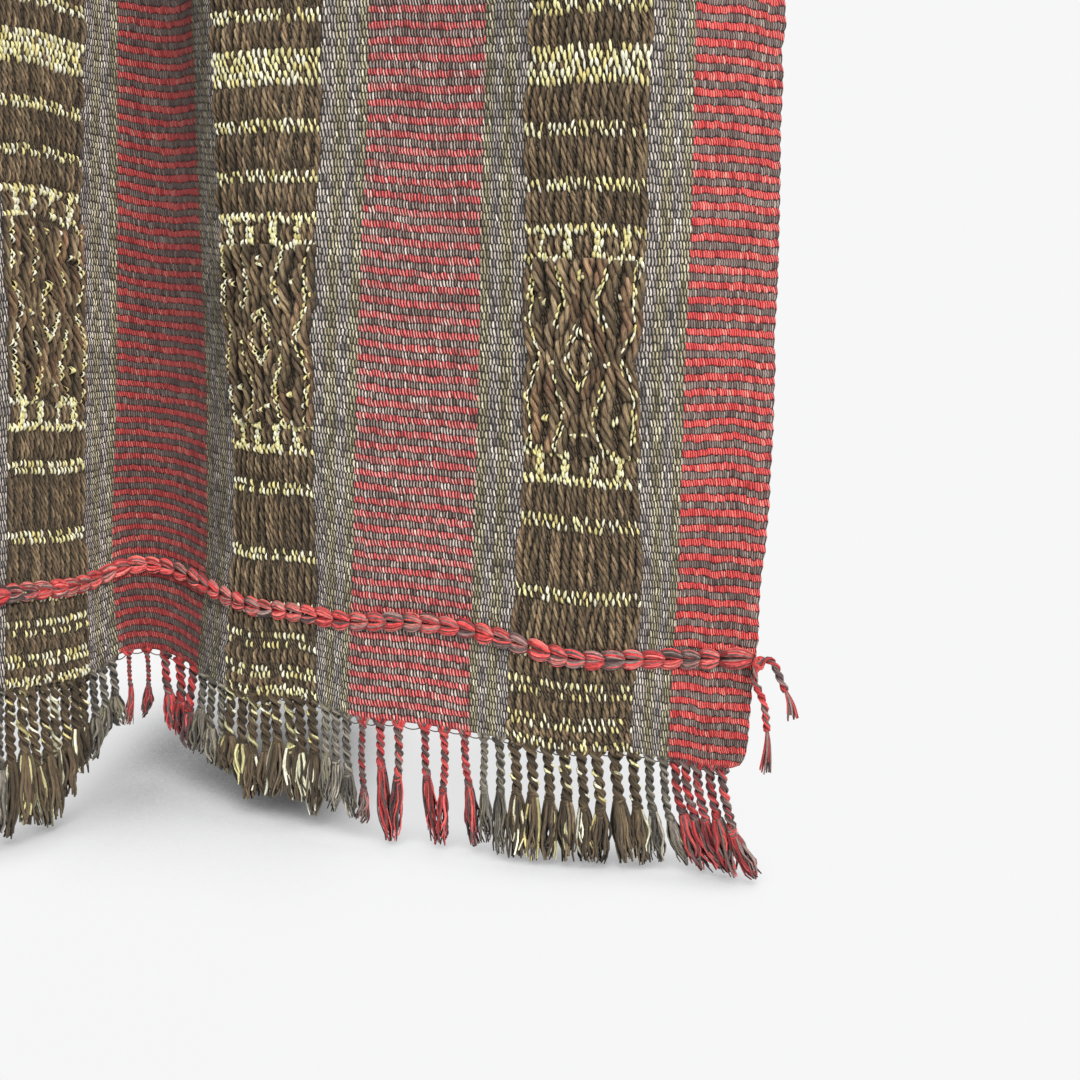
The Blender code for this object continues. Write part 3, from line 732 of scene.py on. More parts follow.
class Grains:
    """Short cream floats, gathered before they are made."""

    def __init__(self):
        self.rows = []

    def add(self, s, t, length, width, tilt, lift, tone):
        arr = np.broadcast_arrays(*(np.atleast_1d(np.asarray(x, float)) for x in (s, t, length, width, tilt, lift, tone)))
        self.rows.append(np.stack(arr, axis=1))

    def build(self, soup, rings=5, around=5):
        g = np.concatenate(self.rows)
        m = len(g)
        s, t, length, width, tilt, lift = (g[:, k][:, None, None] for k in range(6))
        x = np.linspace(-1, 1, rings)[None, :, None]
        th = np.linspace(-0.1 * math.pi, 1.1 * math.pi, around)[None, None, :]
        fat = width / 2 * np.sqrt(np.maximum(1 - x * x, 0.03)) ** 0.8
        ss = s + tilt * x + fat * np.cos(th)
        tt = t + length / 2 * x + 0 * th
        ww = 0.75 + lift * (1 - x**2) + fat * 1.05 * np.sin(th)
        tone = g[:, 6].astype(int)
        col = CREAMS[tone % len(CREAMS)] * RNG.uniform(0.82, 1.08, (m, 1))
        odd = tone >= 50
        col[odd] = lin(126, 106, 80) * RNG.uniform(0.8, 1.1, (odd.sum(), 1))
        soup.strips(weave(ss, tt, ww), col[:, None, None], t + length / 2 * x, fat * th * 2)


def tones(m, odd=0.03):
    t = RNG.integers(0, 5, m)
    t[RNG.random(m) < odd] = 50
    return t


def cream_rows(near, far):
    for band in range(5):
        k = 2 + 4 * band
        lo, hi = BOUNDS[k], BOUNDS[k + 1]
        for z in zones():
            if z.kind != "cream":
                continue
            close = band < 3 and z.low < 330
            g = near if close else far
            height = z.high - z.low
            lines = max(2, int(round(height / (4.0 if z.high < 45 else 3.0))))
            for r in range(lines):
                m = 20 if close else 12
                pitch = (hi - lo) / m
                thick = height > 12
                s = lo + pitch * (np.arange(m) + 0.25 + 0.5 * (r % 2)) + RNG.normal(0, 0.28, m)
                t = z.low + height * (r + 0.5) / lines + RNG.normal(0, 0.28, m)
                keep = RNG.random(m) > (0.04 if thick else 0.22 if z.high < 45 else 0.12)
                L = RNG.uniform(2.7, 4.0, m) * (1.15 if thick else 1.0)
                W = (RNG.uniform(0.90, 1.55, m) if thick else RNG.uniform(0.72, 1.30, m)) * (1.0 if close else 1.5)
                tilt = RNG.normal(0.16, 0.22, m)
                g.add(s[keep], t[keep], L[keep], W[keep], tilt[keep], 0.7, tones(m)[keep])


# the lattice field, in half widths to one side of its middle and half heights up from it
LatticeLine = namedtuple("LatticeLine", "across up")
INNER = [LatticeLine(0.50, -1.0), LatticeLine(0.43, -0.72), LatticeLine(0.29, -0.55), LatticeLine(0.28, -0.44), LatticeLine(0.44, -0.21), LatticeLine(0.47, 0.0), LatticeLine(0.45, 0.20), LatticeLine(0.27, 0.44), LatticeLine(0.42, 0.66), LatticeLine(0.46, 1.0)]
OUTER = [LatticeLine(0.94, -1.0), LatticeLine(0.90, -0.70), LatticeLine(0.98, -0.30), LatticeLine(0.72, 0.0), LatticeLine(0.95, 0.27), LatticeLine(0.88, 0.55), LatticeLine(0.90, 0.75), LatticeLine(0.95, 1.0)]
CENTRE = [LatticeLine(0.0, -1.0), LatticeLine(0.04, -0.24), LatticeLine(0.16, -0.14), LatticeLine(0.22, -0.03), LatticeLine(0.20, 0.06), LatticeLine(0.10, 0.16), LatticeLine(0.04, 0.24), LatticeLine(0.0, 1.0)]


def line_at(rows, y):
    return np.interp(y, [r.up for r in rows], [r.across for r in rows])


def lattice(near, far, near_g, far_g):
    """The lattice fields: thick yarns that bend around small diamonds, edged with cream floats."""
    for band in range(5):
        k = 2 + 4 * band
        mid, half = (BOUNDS[k] + BOUNDS[k + 1]) / 2, (BOUNDS[k + 1] - BOUNDS[k]) / 2
        for c in LATTICES:
            close = band < 3 and c < 330
            soup, g = (near, near_g) if close else (far, far_g)
            H = LATTICE_HALF
            n = 9 if close else 5
            leaf = np.linspace(-1, 1, n)[None]
            s, t, radius, w, dim = [], [], [], [], []
            for sign in (1, -1):
                for rows_a, rows_b, count in ((CENTRE, INNER, 2), (INNER, OUTER, 2), (OUTER, None, 1)):
                    for j in range(count):
                        beat = RNG.uniform(10.8, 12.2) / H
                        start = -0.76 + beat * (0.25 + 0.5 * ((j + (rows_a is INNER) + (sign > 0)) % 2))
                        centre = np.arange(start, 0.78, beat)[:, None] + RNG.normal(0, 0.012, (len(np.arange(start, 0.78, beat)), 1))
                        reach = RNG.uniform(0.150, 0.185, centre.shape)
                        y = np.clip(centre + leaf * reach, -0.78, 0.78)
                        a = line_at(rows_a, y)
                        b = np.full_like(y, 1.04) if rows_b is None else line_at(rows_b, y)
                        gap = (b - a) * half / count
                        x = a + (b - a) * (j + 0.5) / count
                        # a mask meant to keep the middle diamond free for its own two yarns; with its limit at 0.0 it
                        # keeps every yarn
                        keep = ~((rows_a is CENTRE) & (j == 0) & (np.abs(centre[:, 0]) < 0.0))
                        shape = np.clip(1 - np.abs(leaf) ** 2.4, 0, 1) ** 0.5
                        fat = np.clip(gap * 0.70, 1.0, 2.9).mean(axis=1, keepdims=True)
                        s.append((mid + sign * x * half - leaf * RNG.normal(0.35, 0.35, centre.shape))[keep])
                        t.append((c + y * H)[keep])
                        radius.append((fat * (0.40 + 0.60 * shape))[keep])
                        w.append((-0.7 + (1.75 + RNG.normal(0, 0.22, centre.shape)) * shape + 0.35 * (fat - 1.6))[keep])
                        # painted shade, darker towards each leaf's two ends
                        dim.append((0.34 + 0.78 * shape + 0 * centre)[keep])
            s, t, radius, w, dim = (np.concatenate(v) for v in (s, t, radius, w, dim))
            m = len(s)
            cols = pick(BROWNS, (m, 3)) * RNG.uniform(0.68, 1.14, (m, 1, 1)) * RNG.uniform(0.76, 1.16, (m, 3, 1)) * (0.98 - 0.05 * band)
            warm = RNG.random(m) < 0.14
            cols[warm] = cols[warm] * np.array([1.10, 0.95, 0.93])
            plied(soup, s, t, w, radius, RNG.uniform(0, 6.28, m), cols, pitch=17.0, ring=5 if close else 4, plies=3 if close else 2, dim=dim)
            # the two short yarns inside the middle diamond
            n3 = 8 if close else 5
            y3 = np.linspace(-0.14, 0.14, n3)[None]
            x3 = np.array([-0.10, 0.09])[:, None]
            bulge = np.sin(math.pi * np.linspace(0, 1, n3))[None] ** 0.5
            plied(soup, mid + x3 * half * (0.7 + 0.4 * bulge), c + y3 * H + 0 * x3, 0.4 + 1.4 * bulge + 0 * x3, 1.9 * (0.55 + 0.45 * bulge) + 0 * x3, RNG.uniform(0, 6, 2), pick(BROWNS, (2, 2)) * 1.15, ring=6 if close else 4)
            # short thick floats above and below the diamonds
            for sign in (1, -1):
                n2 = 6 if close else 4
                yy = sign * np.linspace(0.79, 0.955, n2)[None]
                xs = np.array([-0.93, -0.82, -0.54, -0.43, -0.07, 0.07, 0.43, 0.54, 0.82, 0.93])
                m2 = len(xs)
                sx = mid + xs[:, None] * half + RNG.normal(0, 0.3, (m2, 1)) + 0 * yy
                tt = c + yy * H + RNG.normal(0, 0.3, (m2, 1))
                bulge = np.sin(math.pi * np.linspace(0, 1, n2))[None] ** 0.5
                plied(soup, sx, tt, 0.1 + 1.0 * bulge, 1.5 * (0.6 + 0.4 * bulge) + 0 * sx, RNG.uniform(0, 6, m2), pick(BROWNS, (m2, 2)) * 1.1, ring=6 if close else 4)
                for yrow, keepout in ((1.0, 0.0), (0.77, 0.34)):
                    for r in (-0.014, 0.014):
                        mm = 18 if close else 10
                        xx = np.linspace(-0.97, 0.97, mm) + (0.027 if r > 0 else -0.027) + RNG.normal(0, 0.012, mm)
                        kp = (np.abs(xx) > keepout) & (RNG.random(mm) > (0.08 if yrow == 1.0 else 0.22))
                        g.add(mid + xx[kp] * half, c + sign * yrow * H + r * H + RNG.normal(0, 0.25, kp.sum()), RNG.uniform(2.6, 3.8, kp.sum()), RNG.uniform(0.9, 1.5, kp.sum()) * (1 if close else 1.5), RNG.normal(0.15, 0.22, kp.sum()), 0.8, tones(kp.sum()))
                # upright cream streaks between them
                for xc in (-0.70, -0.25, 0.25, 0.70):
                    for r, yv in enumerate(np.linspace(0.80, 0.95, 4)):
                        mm = 2 if r % 2 else 3
                        xx = xc + (np.arange(mm) - (mm - 1) / 2) * 0.055 + RNG.normal(0, 0.01, mm)
                        g.add(mid + xx * half, c + sign * yv * H + RNG.normal(0, 0.3, mm), RNG.uniform(2.8, 4.0, mm), RNG.uniform(0.9, 1.5, mm), RNG.normal(0.1, 0.25, mm), 1.0, tones(mm, 0.1))
            # cream floats along the diamonds
            for sign in (1, -1):
                for rows_, y0, y1, w0 in ((INNER, -0.75, 0.72, 2), (OUTER, -0.72, 0.74, 2), (CENTRE, -0.23, 0.25, 2)):
                    ys = np.arange(y0, y1, 0.062)
                    if rows_ is INNER:
                        ys = ys[np.abs(ys) > 0.19]
                    xs = line_at(rows_, ys)
                    slope = (line_at(rows_, ys + 0.02) - line_at(rows_, ys - 0.02)) / 0.04
                    tilt = sign * slope * half / H * 1.5
                    for j in range(w0):
                        mm = len(ys)
                        kp = RNG.random(mm) > (0.08 if j == 0 else 0.35)
                        off = (j - 0.5) * 0.06 + RNG.normal(0, 0.012, mm)
                        g.add((mid + sign * (xs + off) * half)[kp], (c + (ys + (0.027 if j else 0)) * H)[kp], RNG.uniform(2.9, 4.6, mm)[kp], (RNG.uniform(0.70, 1.15, mm) * (1 if close else 1.4))[kp], tilt[kp] + RNG.normal(0, 0.2, kp.sum()), 2.3, tones(mm, 0.06)[kp])
                for xc, yc in ((0.0, 0.64), (0.68, 0.46), (0.62, -0.48), (0.10, -0.62), (0.50, -0.03)):
                    xx = sign * xc + np.array([-0.03, 0.03])
                    g.add(mid + xx * half, c + yc * H + RNG.normal(0, 0.8, 2), RNG.uniform(2.4, 3.4, 2), 1.3, RNG.normal(0.1, 0.3, 2), 2.4, tones(2, 0.2))


# ------------------------------------------------------------------ the fringe
Tooth = namedtuple("Tooth", "u_mm kind knot right down front size")
# where the front cords start on the bottom edge, where their knot is, and how their tip differs from the even hang, in mm
NEAR_CORDS = [
    Tooth(10.5, "red", 0.60, 5.0, 0.0, 0.0, 1.00), Tooth(16.5, "red", 0.52, 3.5, -3.0, -1.0, 1.00), Tooth(22.5, "red", 0.56, 3.5, 0.0, 1.0, 1.00),
    Tooth(28.0, "red", 0.58, 5.0, 0.0, 1.0, 1.00), Tooth(33.0, "red", 0.55, 6.5, -1.0, 0.0, 1.00),
    Tooth(38.5, "grey", 0.62, 3.0, -2.0, 0.0, 0.95), Tooth(45.5, "grey", 0.58, 1.0, -3.0, 0.0, 1.00),
    Tooth(53.0, "brown", 0.55, 2.5, 0.0, 0.0, 1.15), Tooth(60.0, "brown", 0.50, 3.0, -1.0, 0.0, 1.25), Tooth(67.0, "brown", 0.58, 2.0, 0.0, 1.0, 1.20),
    Tooth(73.0, "brown", 0.55, 1.0, -1.0, 0.0, 1.10), Tooth(79.5, "brown", 0.50, 1.0, 0.0, 0.0, 1.20), Tooth(86.0, "brown", 0.52, 0.0, -2.0, 0.0, 1.10),
    Tooth(92.5, "brown", 0.48, -0.5, 2.5, 1.5, 1.15), Tooth(99.0, "brown", 0.50, 0.0, -0.5, 0.0, 1.15),
    Tooth(106.0, "grey", 0.52, 0.0, -1.0, 0.0, 1.00), Tooth(113.5, "grey", 0.55, -0.5, -5.0, 0.0, 0.85),
    Tooth(122.0, "red", 0.52, 4.6, -2.0, 0.0, 0.88), Tooth(130.5, "red", 0.58, -3.6, -1.0, 0.0, 0.88), Tooth(139.0, "red", 0.46, 4.4, 0.0, 0.0, 0.88),
    Tooth(149.5, "red", 0.50, -3.2, 1.0, 0.0, 0.94), Tooth(157.5, "red", 0.42, 3.6, 0.0, 0.0, 0.94), Tooth(165.0, "red", 0.72, 0.0, -7.0, -2.0, 0.80),
    Tooth(172.0, "grey", 0.60, 1.0, -9.0, 0.0, 1.00), Tooth(178.0, "grey", 0.55, 0.0, -10.0, 0.0, 1.00), Tooth(184.0, "grey", 0.58, 0.0, -12.0, 0.0, 1.00),
]


def teeth():
    out = list(NEAR_CORDS)
    rng = np.random.default_rng(41)
    for k in range(6, len(BOUNDS) - 1):
        lo, hi = BOUNDS[k], BOUNDS[k + 1]
        kind = {0: "red", 1: "grey", 2: "brown", 3: "grey"}[k % 4]
        count = {"brown": 8, "grey": 3, "red": 6}[kind] if k < 19 or kind != "red" else 5
        thin = k == 8
        if thin:
            count = 5
        for i in range(count):
            u = lo + (hi - lo) * (i + 0.5) / count + rng.normal(0, 0.3)
            if k == len(BOUNDS) - 2:
                u = min(u, 684)
            size = {"brown": 1.15, "grey": 1.0, "red": 0.9}[kind] * ((1.15, 1.25, 1.15, 0.66, 0.62)[i] if thin else 1.0)
            aside = (-4.2, 0.0, 4.2, 0.0, 0.0)[i] if thin else rng.normal(0, 1.8)
            out.append(Tooth(u, kind, rng.uniform(0.5, 0.62), aside, rng.normal(-1.5, 2.0), rng.normal(0, 1.0), size))
    return out


HANG_U = column(HANGS, "u_mm", MM)


def hang_line(tooth, x):
    """The cord's line from its root to its tip."""
    u = tooth.u_mm * MM
    root = weave(tooth.u_mm, 0.0)
    down = unit(root - weave(tooth.u_mm, 6.0))
    drop = along(u, HANG_U, column(HANGS, "drop_mm", MM)) + tooth.down * MM
    front = along(u, HANG_U, column(HANGS, "front_mm", MM)) + tooth.front * MM
    right = along(u, HANG_U, column(HANGS, "right_mm", MM)) + tooth.right * MM
    tip = root + np.array([float(right), -float(front), -float(drop)])
    tip[2] = max(tip[2], FLOOR_Z + 0.0016)
    bend = root + down * float(drop) * 0.45
    x = np.asarray(x, float)[:, None]
    return (1 - x) ** 2 * root + 2 * x * (1 - x) * bend + x * x * tip, float(drop)


def strand_colours(kind, m, cream=0.16):
    if kind == "red":
        c = pick(REDS, m)
        c[RNG.random(m) < 0.42] = MAUVES[RNG.integers(0, len(MAUVES))]
    elif kind == "grey":
        c = pick(GREYS, m)
    else:
        c = pick(BROWNS, m) * 0.86
        c[RNG.random(m) < cream] = CREAMS[RNG.integers(0, len(CREAMS))] * 0.88
    return c * RNG.uniform(0.78, 1.12, (m, 1))


def twist(soup, line, size, pitch, colours, phi0, open_, sides, start):
    """Two plies round a line, (step, 3), each of three finer yarns. colours is (6, 3), one to a yarn."""
    _, a, b = frames(line[None], (0.0, -1.0, 0.0))
    a, b = a[0], b[0]
    length = np.concatenate([[0], np.cumsum(np.linalg.norm(np.diff(line, axis=0), axis=1))]) / MM
    for ply in range(2):
        phi = phi0 + math.pi * ply - 2 * math.pi * length / pitch
        centre = line + 0.80 * size * np.asarray(open_).reshape(-1, 1) * (np.cos(phi)[:, None] * a + 0.9 * np.sin(phi)[:, None] * b)
        for yarn in range(3):
            psi = 2 * math.pi * yarn / 3 - 2 * math.pi * length / (pitch * 1.7) + ply
            off = 0.58 * size * (np.cos(psi)[:, None] * a + np.sin(psi)[:, None] * b)
            tubes(soup, (centre + off)[None], 0.56 * size, colours[ply * 3 + yarn][None], sides, start=start + yarn * 7, core=line[None], dark=0.22)


def fringe():
    cords, tassels = Soup(), Soup()
    for tooth in teeth():
        near = tooth.u_mm < 372
        size = tooth.size * {"brown": 1.16, "grey": 1.12, "red": 1.14}[tooth.kind]
        kn = tooth.knot
        n = 30 if near else 11
        x = np.linspace(0.0, kn, n)
        line, drop = hang_line(tooth, x)
        tan, a, b = frames(line[None], (0.0, -1.0, 0.0))
        a, b = a[0], b[0]
        length = x * drop / MM
        wob = (np.sin(length / 6 + tooth.u_mm) * 0.35 * MM)[:, None] * a
        line = line + wob
        # two plies of three finer yarns each
        colours = strand_colours(tooth.kind, 6, 0.05)
        if tooth.kind == "red":
            colours[:2], colours[3:5] = pick(REDS, 2), pick(MAUVES, 2)
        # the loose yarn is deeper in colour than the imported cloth
        depth = {"brown": 0.74, "grey": 0.92, "red": 0.86}[tooth.kind]
        colours = colours * depth
        open_ = 1 + 1.3 * (1 - smooth(length, 0, 5.5))
        phi0 = RNG.uniform(0, 6.28)
        lay = (6.6 if near else 9.0) * size
        twist(cords, line, size * MM, lay, colours, phi0, open_, 4 if near else 3, tooth.u_mm)
        if tooth.kind == "brown" and near:
            # a cream yarn shows here and there along a ply
            for _ in range(4):
                i0 = int(RNG.integers(1, n - 6))
                part = slice(i0, i0 + 5)
                y = np.sin(np.linspace(0, math.pi, 5))
                phi = phi0 + math.pi * RNG.integers(0, 2) - 2 * math.pi * length[part] / lay
                around = np.cos(phi)[:, None] * a[part] + np.sin(phi)[:, None] * b[part] * 0.9
                lane = line[part] + around * (size * MM * (1.05 + 0.75 * y))[:, None]
                tubes(cords, lane[None], (size * 0.50 * MM * (0.3 + 0.7 * y))[None], CREAMS[RNG.integers(0, 5)][None] * 0.9, 4)
        # the warps that gather into the cord
        m = 6 if near else 3
        spread = (np.arange(m) - (m - 1) / 2) * 1.15 + RNG.normal(0, 0.15, m)
        y = np.linspace(0, 1, 5)
        end = line[min(4, n - 1)]
        gather = []
        for k in range(m):
            r0 = weave(tooth.u_mm + spread[k], 1.5, 0.2)
            mid = weave(tooth.u_mm + spread[k] * 0.8, -1.2, 0.5)
            gather.append(((1 - y) ** 2)[:, None] * r0 + (2 * y * (1 - y))[:, None] * mid + (y**2)[:, None] * (end + a[0] * RNG.normal(0, 0.4 * MM)))
        tubes(cords, np.array(gather), 0.62 * MM, strand_colours(tooth.kind, m, 0.12), 5 if near else 3, start=7.0)
        # the knot
        knot_at, _ = hang_line(tooth, np.array([kn]))
        knot_at = knot_at[0]
        A, B, T = a[-1], b[-1], tan[0][-1]
        turns = 1.7
        nk = 18 if near else 9
        ang = np.linspace(0, 2 * math.pi * turns, nk) + RNG.uniform(0, 6.28)
        rad = 1.18 * size * MM * (1 + 0.15 * np.sin(ang * 2.3))[:, None]
        loop = knot_at + rad * (np.cos(ang)[:, None] * A + np.sin(ang)[:, None] * B) + T * (np.linspace(-1.3, 1.3, nk)[:, None] * size * MM + 0.8 * MM * np.sin(ang)[:, None])
        for up_, tone in ((0.45, 0), (-0.45, 3)):
            tubes(cords, (loop + T * up_ * size * MM)[None], 0.56 * size * MM, colours[tone : tone + 1] * 0.80, 5 if near else 3, ref=tuple(T), core=np.broadcast_to(knot_at, loop[None].shape))
        core = knot_at + T * np.linspace(-2.6, 2.6, 6)[:, None] * size * MM
        tubes(cords, core[None], (np.array([0.8, 1.3, 1.5, 1.5, 1.3, 0.9]) * size * MM)[None], colours[-1:] * 0.6, 6)
        # the frayed tassel
        m = int((25 if near else 9) * (1.25 if tooth.kind == "brown" else 1.0))
        n = 9 if near else 5
        y = np.linspace(0, 1, n)
        ends = RNG.uniform(0.70, 1.0, m)
        ends[:3] = 1.0
        line2 = np.stack([hang_line(tooth, kn + (1 - kn) * y * e)[0] for e in ends])
        _, a2, b2 = frames(line2, (0.0, -1.0, 0.0))
        ang = RNG.uniform(0, 2 * math.pi, m)
        # the tassels are fullest at the right corner and in the hollow, where they lie against each other
        full = 1.18 if tooth.u_mm < 40 else 1.15 if 200 < tooth.u_mm < 372 else 1.0
        rad = np.sqrt(RNG.uniform(0.05, 1, m)) * (3.5 if tooth.kind == "brown" else 3.1) * size * full * MM
        grow = (0.42 + 0.62 * np.sin(np.clip(y * 1.3, 0, 1) * math.pi / 2) - 0.46 * y**3)[None, :, None] * rad[:, None, None]
        # the whole tassel curls to one side
        curl = (RNG.normal(0, 1.3) * a2 + RNG.normal(0, 0.9) * b2) * MM * (y**2)[None, :, None]
        line2 = line2 + curl
        wave = 1.05 * MM * np.sin(y[None] * RNG.uniform(4, 11, (m, 1)) + RNG.uniform(0, 6.28, (m, 1)))[..., None] * y[None, :, None]
        wave2 = 0.8 * MM * np.sin(y[None] * RNG.uniform(4, 11, (m, 1)) + RNG.uniform(0, 6.28, (m, 1)))[..., None] * y[None, :, None]
        p = line2 + a2 * (np.cos(ang)[:, None, None] * grow + wave) + b2 * (np.sin(ang)[:, None, None] * grow * 0.8 + wave2)
        p[..., 2] = np.maximum(p[..., 2], FLOOR_Z + 0.0009)
        r = RNG.uniform(0.34, 0.66, m)[:, None] * size * full * MM * (1 - 0.5 * y[None] ** 4) * (1.0 if near else 1.4)
        tone = strand_colours(tooth.kind, m)
        tone = tone * np.where(tone.min(axis=1, keepdims=True) < 0.26, depth, 1.0)
        # painted light and shade: strands at the back of the tassel are darker, those at the front lighter
        tone = tone * np.where(np.sin(ang) > -0.2, 1.15, 0.40)[:, None] * RNG.uniform(0.6, 1.25, (m, 1))
        tubes(tassels, p, r, tone, 4, start=3.0, core=line2, dark=0.30)
    # the last weft, which loops from one cord to the next
    all_teeth = sorted(teeth(), key=lambda q: q.u_mm)
    loops = []
    for p, q in zip(all_teeth[:-1], all_teeth[1:]):
        if q.u_mm - p.u_mm > 5.0:
            x = np.linspace(0, 1, 7)
            loops.append(weave(p.u_mm + (q.u_mm - p.u_mm) * x, -0.6 - 2.6 * np.sin(math.pi * x) * RNG.uniform(0.3, 1.0), 0.4))
    tubes(cords, np.array(loops), 0.28 * MM, np.tile(lin(92, 84, 78), (len(loops), 1)), 4, ref=(0.0, 0.0, 1.0))
    return cords, tassels


# ------------------------------------------------------------------ the twined cord
Sag = namedtuple("Sag", "s_mm down_mm")
SAGS = [Sag(0, 0), Sag(24, 0.4), Sag(40, 1.5), Sag(54, 3.3), Sag(78, 3.3), Sag(95, 1.2), Sag(110, 0), Sag(165, 0.4), Sag(189, 3.2), Sag(213, 3.3), Sag(228, 2.4), Sag(246, 2.0), Sag(275, 1.2), Sag(303, 2.0), Sag(345, 1.6), Sag(390, 0), Sag(693, 0)]


def chain_at(u_mm, up, out):
    """A point on the twined cord, up from its middle and out from the cloth, in mm. It lies over the even flat width."""
    u_mm = np.asarray(u_mm, float)
    h = CORD_UP / MM + 0.4 - along(u_mm, column(SAGS, "s_mm"), column(SAGS, "down_mm"))
    return place(u_mm * MM, (h + up) * MM, np.asarray(out, float) * MM)


def chain():
    soup = Soup()
    stitch = 7.9
    count = int((693 - 16) / stitch)
    mixed = ("red", "red", "mauve", "mix", "red", "mauve")
    for i in range(-1, count):
        # the stitch at the selvedge is the longest
        last = i < 0
        centre = 7.6 if last else 15.5 + stitch * (i + 0.5) + RNG.normal(0, 0.35)
        near = centre < 370
        L = 15.5 if last else stitch * RNG.uniform(1.22, 1.42)
        for side in (1, -1):
            kind = mixed[(i * 2 + (side > 0) * 3 + int(RNG.integers(0, 2))) % 6] if not last else ("mix" if side > 0 else "red")
            m = (9 if last else 8) if near else 3
            n = 10 if near else 5
            x = np.linspace(0, 1, n)[None]
            lane = np.linspace(-1, 1, m)[:, None]
            # from the outer left end of the lobe to the rounded tip on the right
            du = L * (0.5 - x)
            ht = 1.35 + 1.05 * np.sin(math.pi * x) - 0.65 * x**3
            body = np.clip(np.sin(math.pi * np.clip(x * 0.86 + 0.05, 0, 1)), 0, 1) ** 0.5
            fat = RNG.uniform(0.92, 1.12)
            up = side * (ht + lane * 1.65 * body * fat) + RNG.normal(0, 0.10, (m, 1))
            lift = 1.1 + 2.3 * body * (1 - 0.6 * lane**2) - 1.1 * (1 - x) ** 2 + 0.5 * x
            palette = pick(REDS, m) if kind != "mauve" else pick(MAUVES, m)
            other = RNG.random(m) < (0.5 if kind == "mix" else 0.24)
            palette[other] = (pick(MAUVES, m) if kind != "mauve" else pick(REDS, m))[other]
            palette = palette * RNG.uniform(0.55, 1.60, (m, 1))
            # painted highlight: about a third of the strands are blended towards pale pink, to read as highlights along
            # the lobes
            pale = RNG.random(m) < 0.30
            palette[pale] = palette[pale] * 0.55 + lin(255, 158, 146) * 0.45
            # painted shade: each lobe darker at its outer left end, where it tucks under the stitch before, and a
            # little at its tip
            ends = 0.16 + 0.84 * smooth(x, 0.02, 0.36)
            palette = palette[:, None] * ends[..., None] * (1.0 - 0.25 * smooth(x, 0.85, 1.0))[..., None]
            r = RNG.uniform(0.40, 0.60, (m, 1)) * (0.55 + 0.45 * body) * MM * (1.0 if near else 2.2)
            tubes(soup, chain_at(centre + du, up, lift), r, palette, 5 if near else 4, ref=(0.0, 0.0, 1.0))
            # the imported yarns under those strands, painted dark as shade between the strands
            ub = side * (ht + 0 * du)
            tubes(soup, chain_at(centre + du, ub, lift[:1] * 0 + 0.9 + 1.1 * body), 1.55 * body * MM, (REDS if kind != "mauve" else MAUVES)[:1] * 0.45, 6 if near else 4, ref=(0.0, 0.0, 1.0))
    return soup


def bundle(soup, path, size, colours, pitch, tip=0, spread=1.6, seed=0):
    """A short twisted tail along path, (step, 3), with frayed strands over its last steps."""
    rng = np.random.default_rng(seed)
    path = np.asarray(path, float)
    body = path[: len(path) - tip] if tip else path
    twist(soup, body, size * 0.52, pitch, colours, 0.4, np.ones(len(body)), 5, 0.0)
    if tip:
        end = path[len(path) - tip - 2 :]
        n = len(end)
        y = np.linspace(0, 1, n)
        k = 16
        _, a2, b2 = frames(end[None], (0.0, -1.0, 0.0))
        ang, rad = rng.uniform(0, 6.28, k), rng.uniform(0.3, 1.0, k) * spread * MM
        p = end[None] + a2 * (np.cos(ang) * rad)[:, None, None] * y[None, :, None] + b2 * (np.sin(ang) * rad * 0.7)[:, None, None] * y[None, :, None]
        reach = rng.uniform(0.72, 1.0, k)
        reach[:3] = 1.0
        p = p[:, :1] + (p - p[:, :1]) * reach[:, None, None]
        c = np.where(rng.random((k, 1)) < 0.5, REDS[rng.integers(0, 5, k)], MAUVES[rng.integers(0, 4, k)])
        c = c * rng.uniform(0.7, 1.25, (k, 1))
        tubes(soup, p, 0.52 * MM * (1 - 0.35 * y[None] ** 3), c, 5, core=end[None], dark=0.5)


def smooth_path(rows, n):
    rows = np.array(rows, float)
    s = np.concatenate([[0.0], np.cumsum(np.linalg.norm(np.diff(rows, axis=0), axis=1))])
    t = np.linspace(0, s[-1], n)
    return np.stack([along(t, s, rows[:, k]) for k in range(3)], axis=1)


TailPoint = namedtuple("TailPoint", "right front up")
UPPER_TAIL = [TailPoint(0.6, 5.0, 0.2), TailPoint(2.4, 5.8, 1.7), TailPoint(5.4, 6.4, 1.7), TailPoint(7.6, 7.0, -1.8), TailPoint(9.4, 7.8, -6.4), TailPoint(11.6, 8.6, -11.0), TailPoint(13.6, 9.2, -16.4), TailPoint(14.6, 9.4, -22.4)]
LOWER_TAIL = [TailPoint(0.0, 4.8, -1.6), TailPoint(-1.0, 5.8, -6.4), TailPoint(1.2, 6.4, -11.4), TailPoint(3.2, 7.0, -16.4), TailPoint(4.2, 8.0, -23.6), TailPoint(4.9, 8.8, -31.0), TailPoint(4.7, 9.4, -39.0), TailPoint(4.2, 9.6, -45.0)]


def tail(name, rows, colours, seed):
    base = place(0.0, CORD_UP)
    path = smooth_path([(base[0] + r.right * MM, base[1] - r.front * MM, base[2] + r.up * MM) for r in rows], 26)
    soup = Soup()
    bundle(soup, path, 1.85 * MM, colours, 8.5, tip=10, spread=2.6, seed=seed)
    ob = soup.build(name, RED)
    length = float(np.linalg.norm(np.diff(path, axis=0), axis=1).sum())
    return ob, path, length


